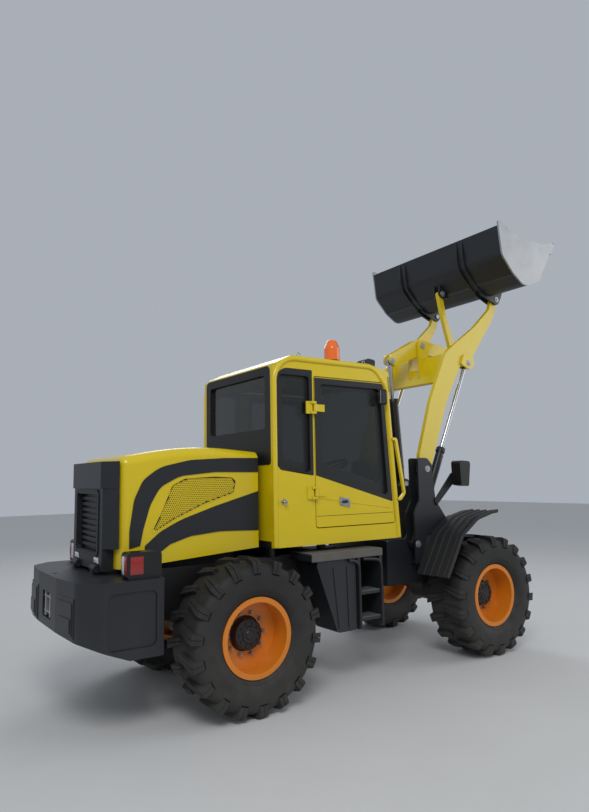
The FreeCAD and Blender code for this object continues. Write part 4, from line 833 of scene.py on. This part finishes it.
# %% Cylinder glands and pipes
def between_points(start, end, section, steps=24):
    """A section of (share of the way, radius) turned round the line from start to end."""
    start, end = np.array(start, float), np.array(end, float)
    ahead = (end - start) / np.linalg.norm(end - start)
    aside = np.cross(ahead, (0, 1.0, 0) if abs(ahead[1]) < 0.9 else (0, 0, 1.0))
    aside /= np.linalg.norm(aside)
    up = np.cross(aside, ahead)
    share, radius = np.array(section, float).T
    angle = np.arange(steps) * 2 * math.pi / steps
    line = start + (end - start) * share[:, None]
    ring = aside * np.cos(angle)[:, None] + up * np.sin(angle)[:, None]
    points = line[:, None] + ring[None] * radius[:, None, None]
    return points.reshape(-1, 3), skin(len(share), steps).tolist()


def along(start, end, reach):
    """A point at a distance from start towards end."""
    start, end = np.array(start, float), np.array(end, float)
    return start + (end - start) / np.linalg.norm(end - start) * reach


LIFT = ((0.700, 1.020), (1.557, 2.820), 1.005, 0.038, 0.022, "lift_cylinders")
TILT = ((0.9775, 1.5788), (0.877, 2.849), 0.880, 0.046, 0.025, "tilt_cylinder")
for (base, eye, long, radius, rod, body), levels in ((LIFT, (0.430, -0.430)), (TILT, (0.0,))):
    parts = []
    for y in levels:
        start, end = (base[0], y, base[1]), (eye[0], y, eye[1])
        gland = [(0, radius + 0.001), (0, radius + 0.008), (0.8, radius + 0.008), (1, radius + 0.004),
                 (1, rod + 0.002),
                 (0.98, rod + 0.002), (0.98, radius + 0.001)]
        ring, _ = between_points(along(start, end, long - 0.045), along(start, end, long + 0.001), gland)
        parts.append((ring, skin(len(gland), 24, close_rows=True).tolist()))
    add(f"{body}_glands", join(parts), BLACK, body, "black_paint")
    pipes = []
    for y in levels:
        start, end = np.array((base[0], y, base[1])), np.array((eye[0], y, eye[1]))
        ahead = (end - start) / np.linalg.norm(end - start)
        off = np.cross(ahead, (0, 1.0, 0)) * -(radius + 0.014)
        low, high = along(start, end, 0.16) + off, along(start, end, long - 0.06) + off
        pipes.append(between_points(low, high, [(0, 0.0), (0, 0.008), (1, 0.008), (1, 0.0)], 12))
        for reach in (0.16, 0.5, long - 0.07):
            spot = along(start, end, reach)
            root = spot + off * (radius - 0.001) / (radius + 0.014)
            foot = [(0, 0.0), (0, 0.012), (1, 0.012), (1, 0.0)]
            pipes.append(between_points(root, spot + off * 1.05, foot, 12))
    add(f"{body}_pipes", join(pipes), STEEL, body, "steel")
print("cylinder sets with glands and pipes", 2)

# %% [markdown]
# ## Bucket
# The shell is stiffened by ribs that run up its back from the ears, and the side plates are bare
# metal. The ribs follow the shell's own section, which is drawn with the pins at its origin and
# then rolled back with the bucket.

# %% Ribs on the bucket's back
ROLL = math.radians(57.7)
PIN_AHEAD, PIN_LEVEL = 2.060, 3.575


def rolled(points):
    """Turns points of the level bucket about its pins and moves them to the boom's end."""
    x, y, z = np.asarray(points, float).T
    return np.stack([PIN_AHEAD + x * math.cos(ROLL) - z * math.sin(ROLL), y,
                     PIN_LEVEL + x * math.sin(ROLL) + z * math.cos(ROLL)], 1)


BACK = np.array([(-0.066, 0.262), (-0.050, 0.420), (-0.026, 0.545), (0.060, 0.640), (0.205, 0.744)])
RIB_HEIGHT = np.array((0.022, 0.024, 0.024, 0.018, 0.004))
ribs = []
for y in (-0.469, -0.391, 0.391, 0.469):
    along_back = np.gradient(BACK, axis=0)
    along_back /= np.linalg.norm(along_back, axis=1)[:, None]
    proud = BACK + np.stack([-along_back[:, 1], along_back[:, 0]], 1) * RIB_HEIGHT[:, None]
    lines = [(BACK, y - 0.010), (BACK, y + 0.010), (proud, y + 0.010), (proud, y - 0.010)]
    grid = np.stack([at_level(line, level) for line, level in lines], 1)
    faces = skin(len(BACK), 4).tolist() + [[0, 1, 2, 3], [4 * len(BACK) - 4 + n for n in range(4)]]
    ribs.append((rolled(grid.reshape(-1, 3)), faces))
add("bucket_ribs", join(ribs), DARK, "bucket", "dark_paint", smooth=False)
FOLD = ((-0.074, 0.300), (-0.080, 0.330), (-0.068, 0.360))
fold = []
for low, high in ((-0.930, -0.481), (-0.379, -0.060), (0.060, 0.379), (0.481, 0.930)):
    fold.append((rolled([(x, y, z) for y in (low, high) for x, z in FOLD]),
                 [[0, 1, 4, 3], [1, 2, 5, 4], [0, 3, 5, 2], [0, 2, 1], [3, 4, 5]]))
add("bucket_fold", join(fold), DARK, "bucket", "dark_paint", smooth=False)
print("ribs on the bucket", len(ribs), "and folds", len(fold))

# %% [markdown]
# ## Seat
# The seat is two stuffed cushions on a box. A cushion is a superellipsoid: the surface where
# |x|^n + |y|^n + |z|^m is one, which has flat faces, round edges and no corners.

# %% Seat cushions
def cushion(middle, half, lean=0.0, flat=(5.0, 2.6), rows=25, columns=48):
    """Points middle + half * (signed cos and sin of two angles, each raised to 2 / its power)."""
    up = np.linspace(-math.pi / 2, math.pi / 2, rows)[1:-1]
    round_way = np.arange(columns) * 2 * math.pi / columns

    def power(value, share):
        return np.sign(value) * np.abs(value) ** share

    x = power(np.cos(up), 2 / flat[1])[:, None] * power(np.cos(round_way), 2 / flat[0])
    y = power(np.cos(up), 2 / flat[1])[:, None] * power(np.sin(round_way), 2 / flat[0])
    z = np.broadcast_to(power(np.sin(up), 2 / flat[1])[:, None], x.shape)
    groove = 1 - 0.06 * np.exp(-((np.abs(y) - 0.55) / 0.05) ** 2)
    spots = np.stack([x, y, z * groove], 2).reshape(-1, 3) * np.array(half)
    poles = np.array([(0, 0, -half[2]), (0, 0, half[2])])
    spots = np.concatenate([spots, poles])
    turn = np.array([(math.cos(lean), 0, math.sin(lean)), (0, 1, 0), (-math.sin(lean), 0, math.cos(lean))])
    lines = rows - 2
    faces = skin(lines, columns).tolist()
    bottom, top = lines * columns, lines * columns + 1
    faces += [[bottom, (n + 1) % columns, n] for n in range(columns)]
    last = (lines - 1) * columns
    faces += [[top, last + n, last + (n + 1) % columns] for n in range(columns)]
    return spots @ turn + np.array(middle), faces


base = block((-0.680, -0.170, 1.160), (-0.330, 0.170, 1.385), 0.02)
seat_base = add("seat_base", base, PLASTIC, "rear", "black_plastic", smooth=False)
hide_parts("seat")
seat_cushion = add("seat_cushion", cushion((-0.465, 0, 1.435), (0.235, 0.235, 0.062), -0.08),
                   CLOTH, "rear", "black_plastic")
seat_back = add("seat_back", cushion((-0.725, 0, 1.745), (0.300, 0.225, 0.058), math.radians(100)),
                CLOTH, "rear", "black_plastic")
print("seat cushion and back, padded")

# %% [markdown]
# ## Light and floor
# Three large soft lamps stand in for the sky: a strong key, a weak fill and one from behind.

# %% Light and floor
scene = bpy.context.scene
scene.view_settings.view_transform = "Standard"
world = bpy.data.worlds.new("studio")
scene.world = world
world.use_nodes = True
world.node_tree.nodes["Background"].inputs["Color"].default_value = (0.80, 0.86, 0.95, 1)
world.node_tree.nodes["Background"].inputs["Strength"].default_value = 0.5


def lamp(name, at, target, size, power):
    """A square soft lamp that faces a target."""
    data = bpy.data.lights.new(name, "AREA")
    data.energy, data.size = power, size
    thing = bpy.data.objects.new(name, data)
    scene.collection.objects.link(thing)
    thing.location = at
    toward = np.array(target, float) - np.array(at, float)
    thing.rotation_euler = Vector(toward).to_track_quat("-Z", "Y").to_euler()


lamp("key", (-4.5, -6.0, 7.5), (0, 0, 1.2), 3.5, 330)
lamp("fill", (6.5, -4.0, 4.0), (0, 0, 1.5), 5.0, 110)
lamp("back", (2.5, 7.0, 7.0), (0, 0, 1.5), 4.0, 150)

FLOOR = finish("pale_floor", (0.62, 0.62, 0.61), 0.8, spread=0.03, grain=30, bump=0.02)
reach = 30.0
floor_mesh = bpy.data.meshes.new("floor")
floor_mesh.from_pydata([(-reach, -reach, 0), (reach, -reach, 0), (reach, reach, 0), (-reach, reach, 0)], [],
                       [(0, 1, 2, 3)])
floor_mesh.materials.append(FLOOR)
floor = bpy.data.objects.new("floor", floor_mesh)
scene.collection.objects.link(floor)
floor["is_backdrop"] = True
print("lamps", len(bpy.data.lights), "and a floor", 2 * reach, "m wide")

# %% [markdown]
# ## Finish
# The box round the dressed machine is worked out before the file ends.

# %% Sizes and finish
low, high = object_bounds()
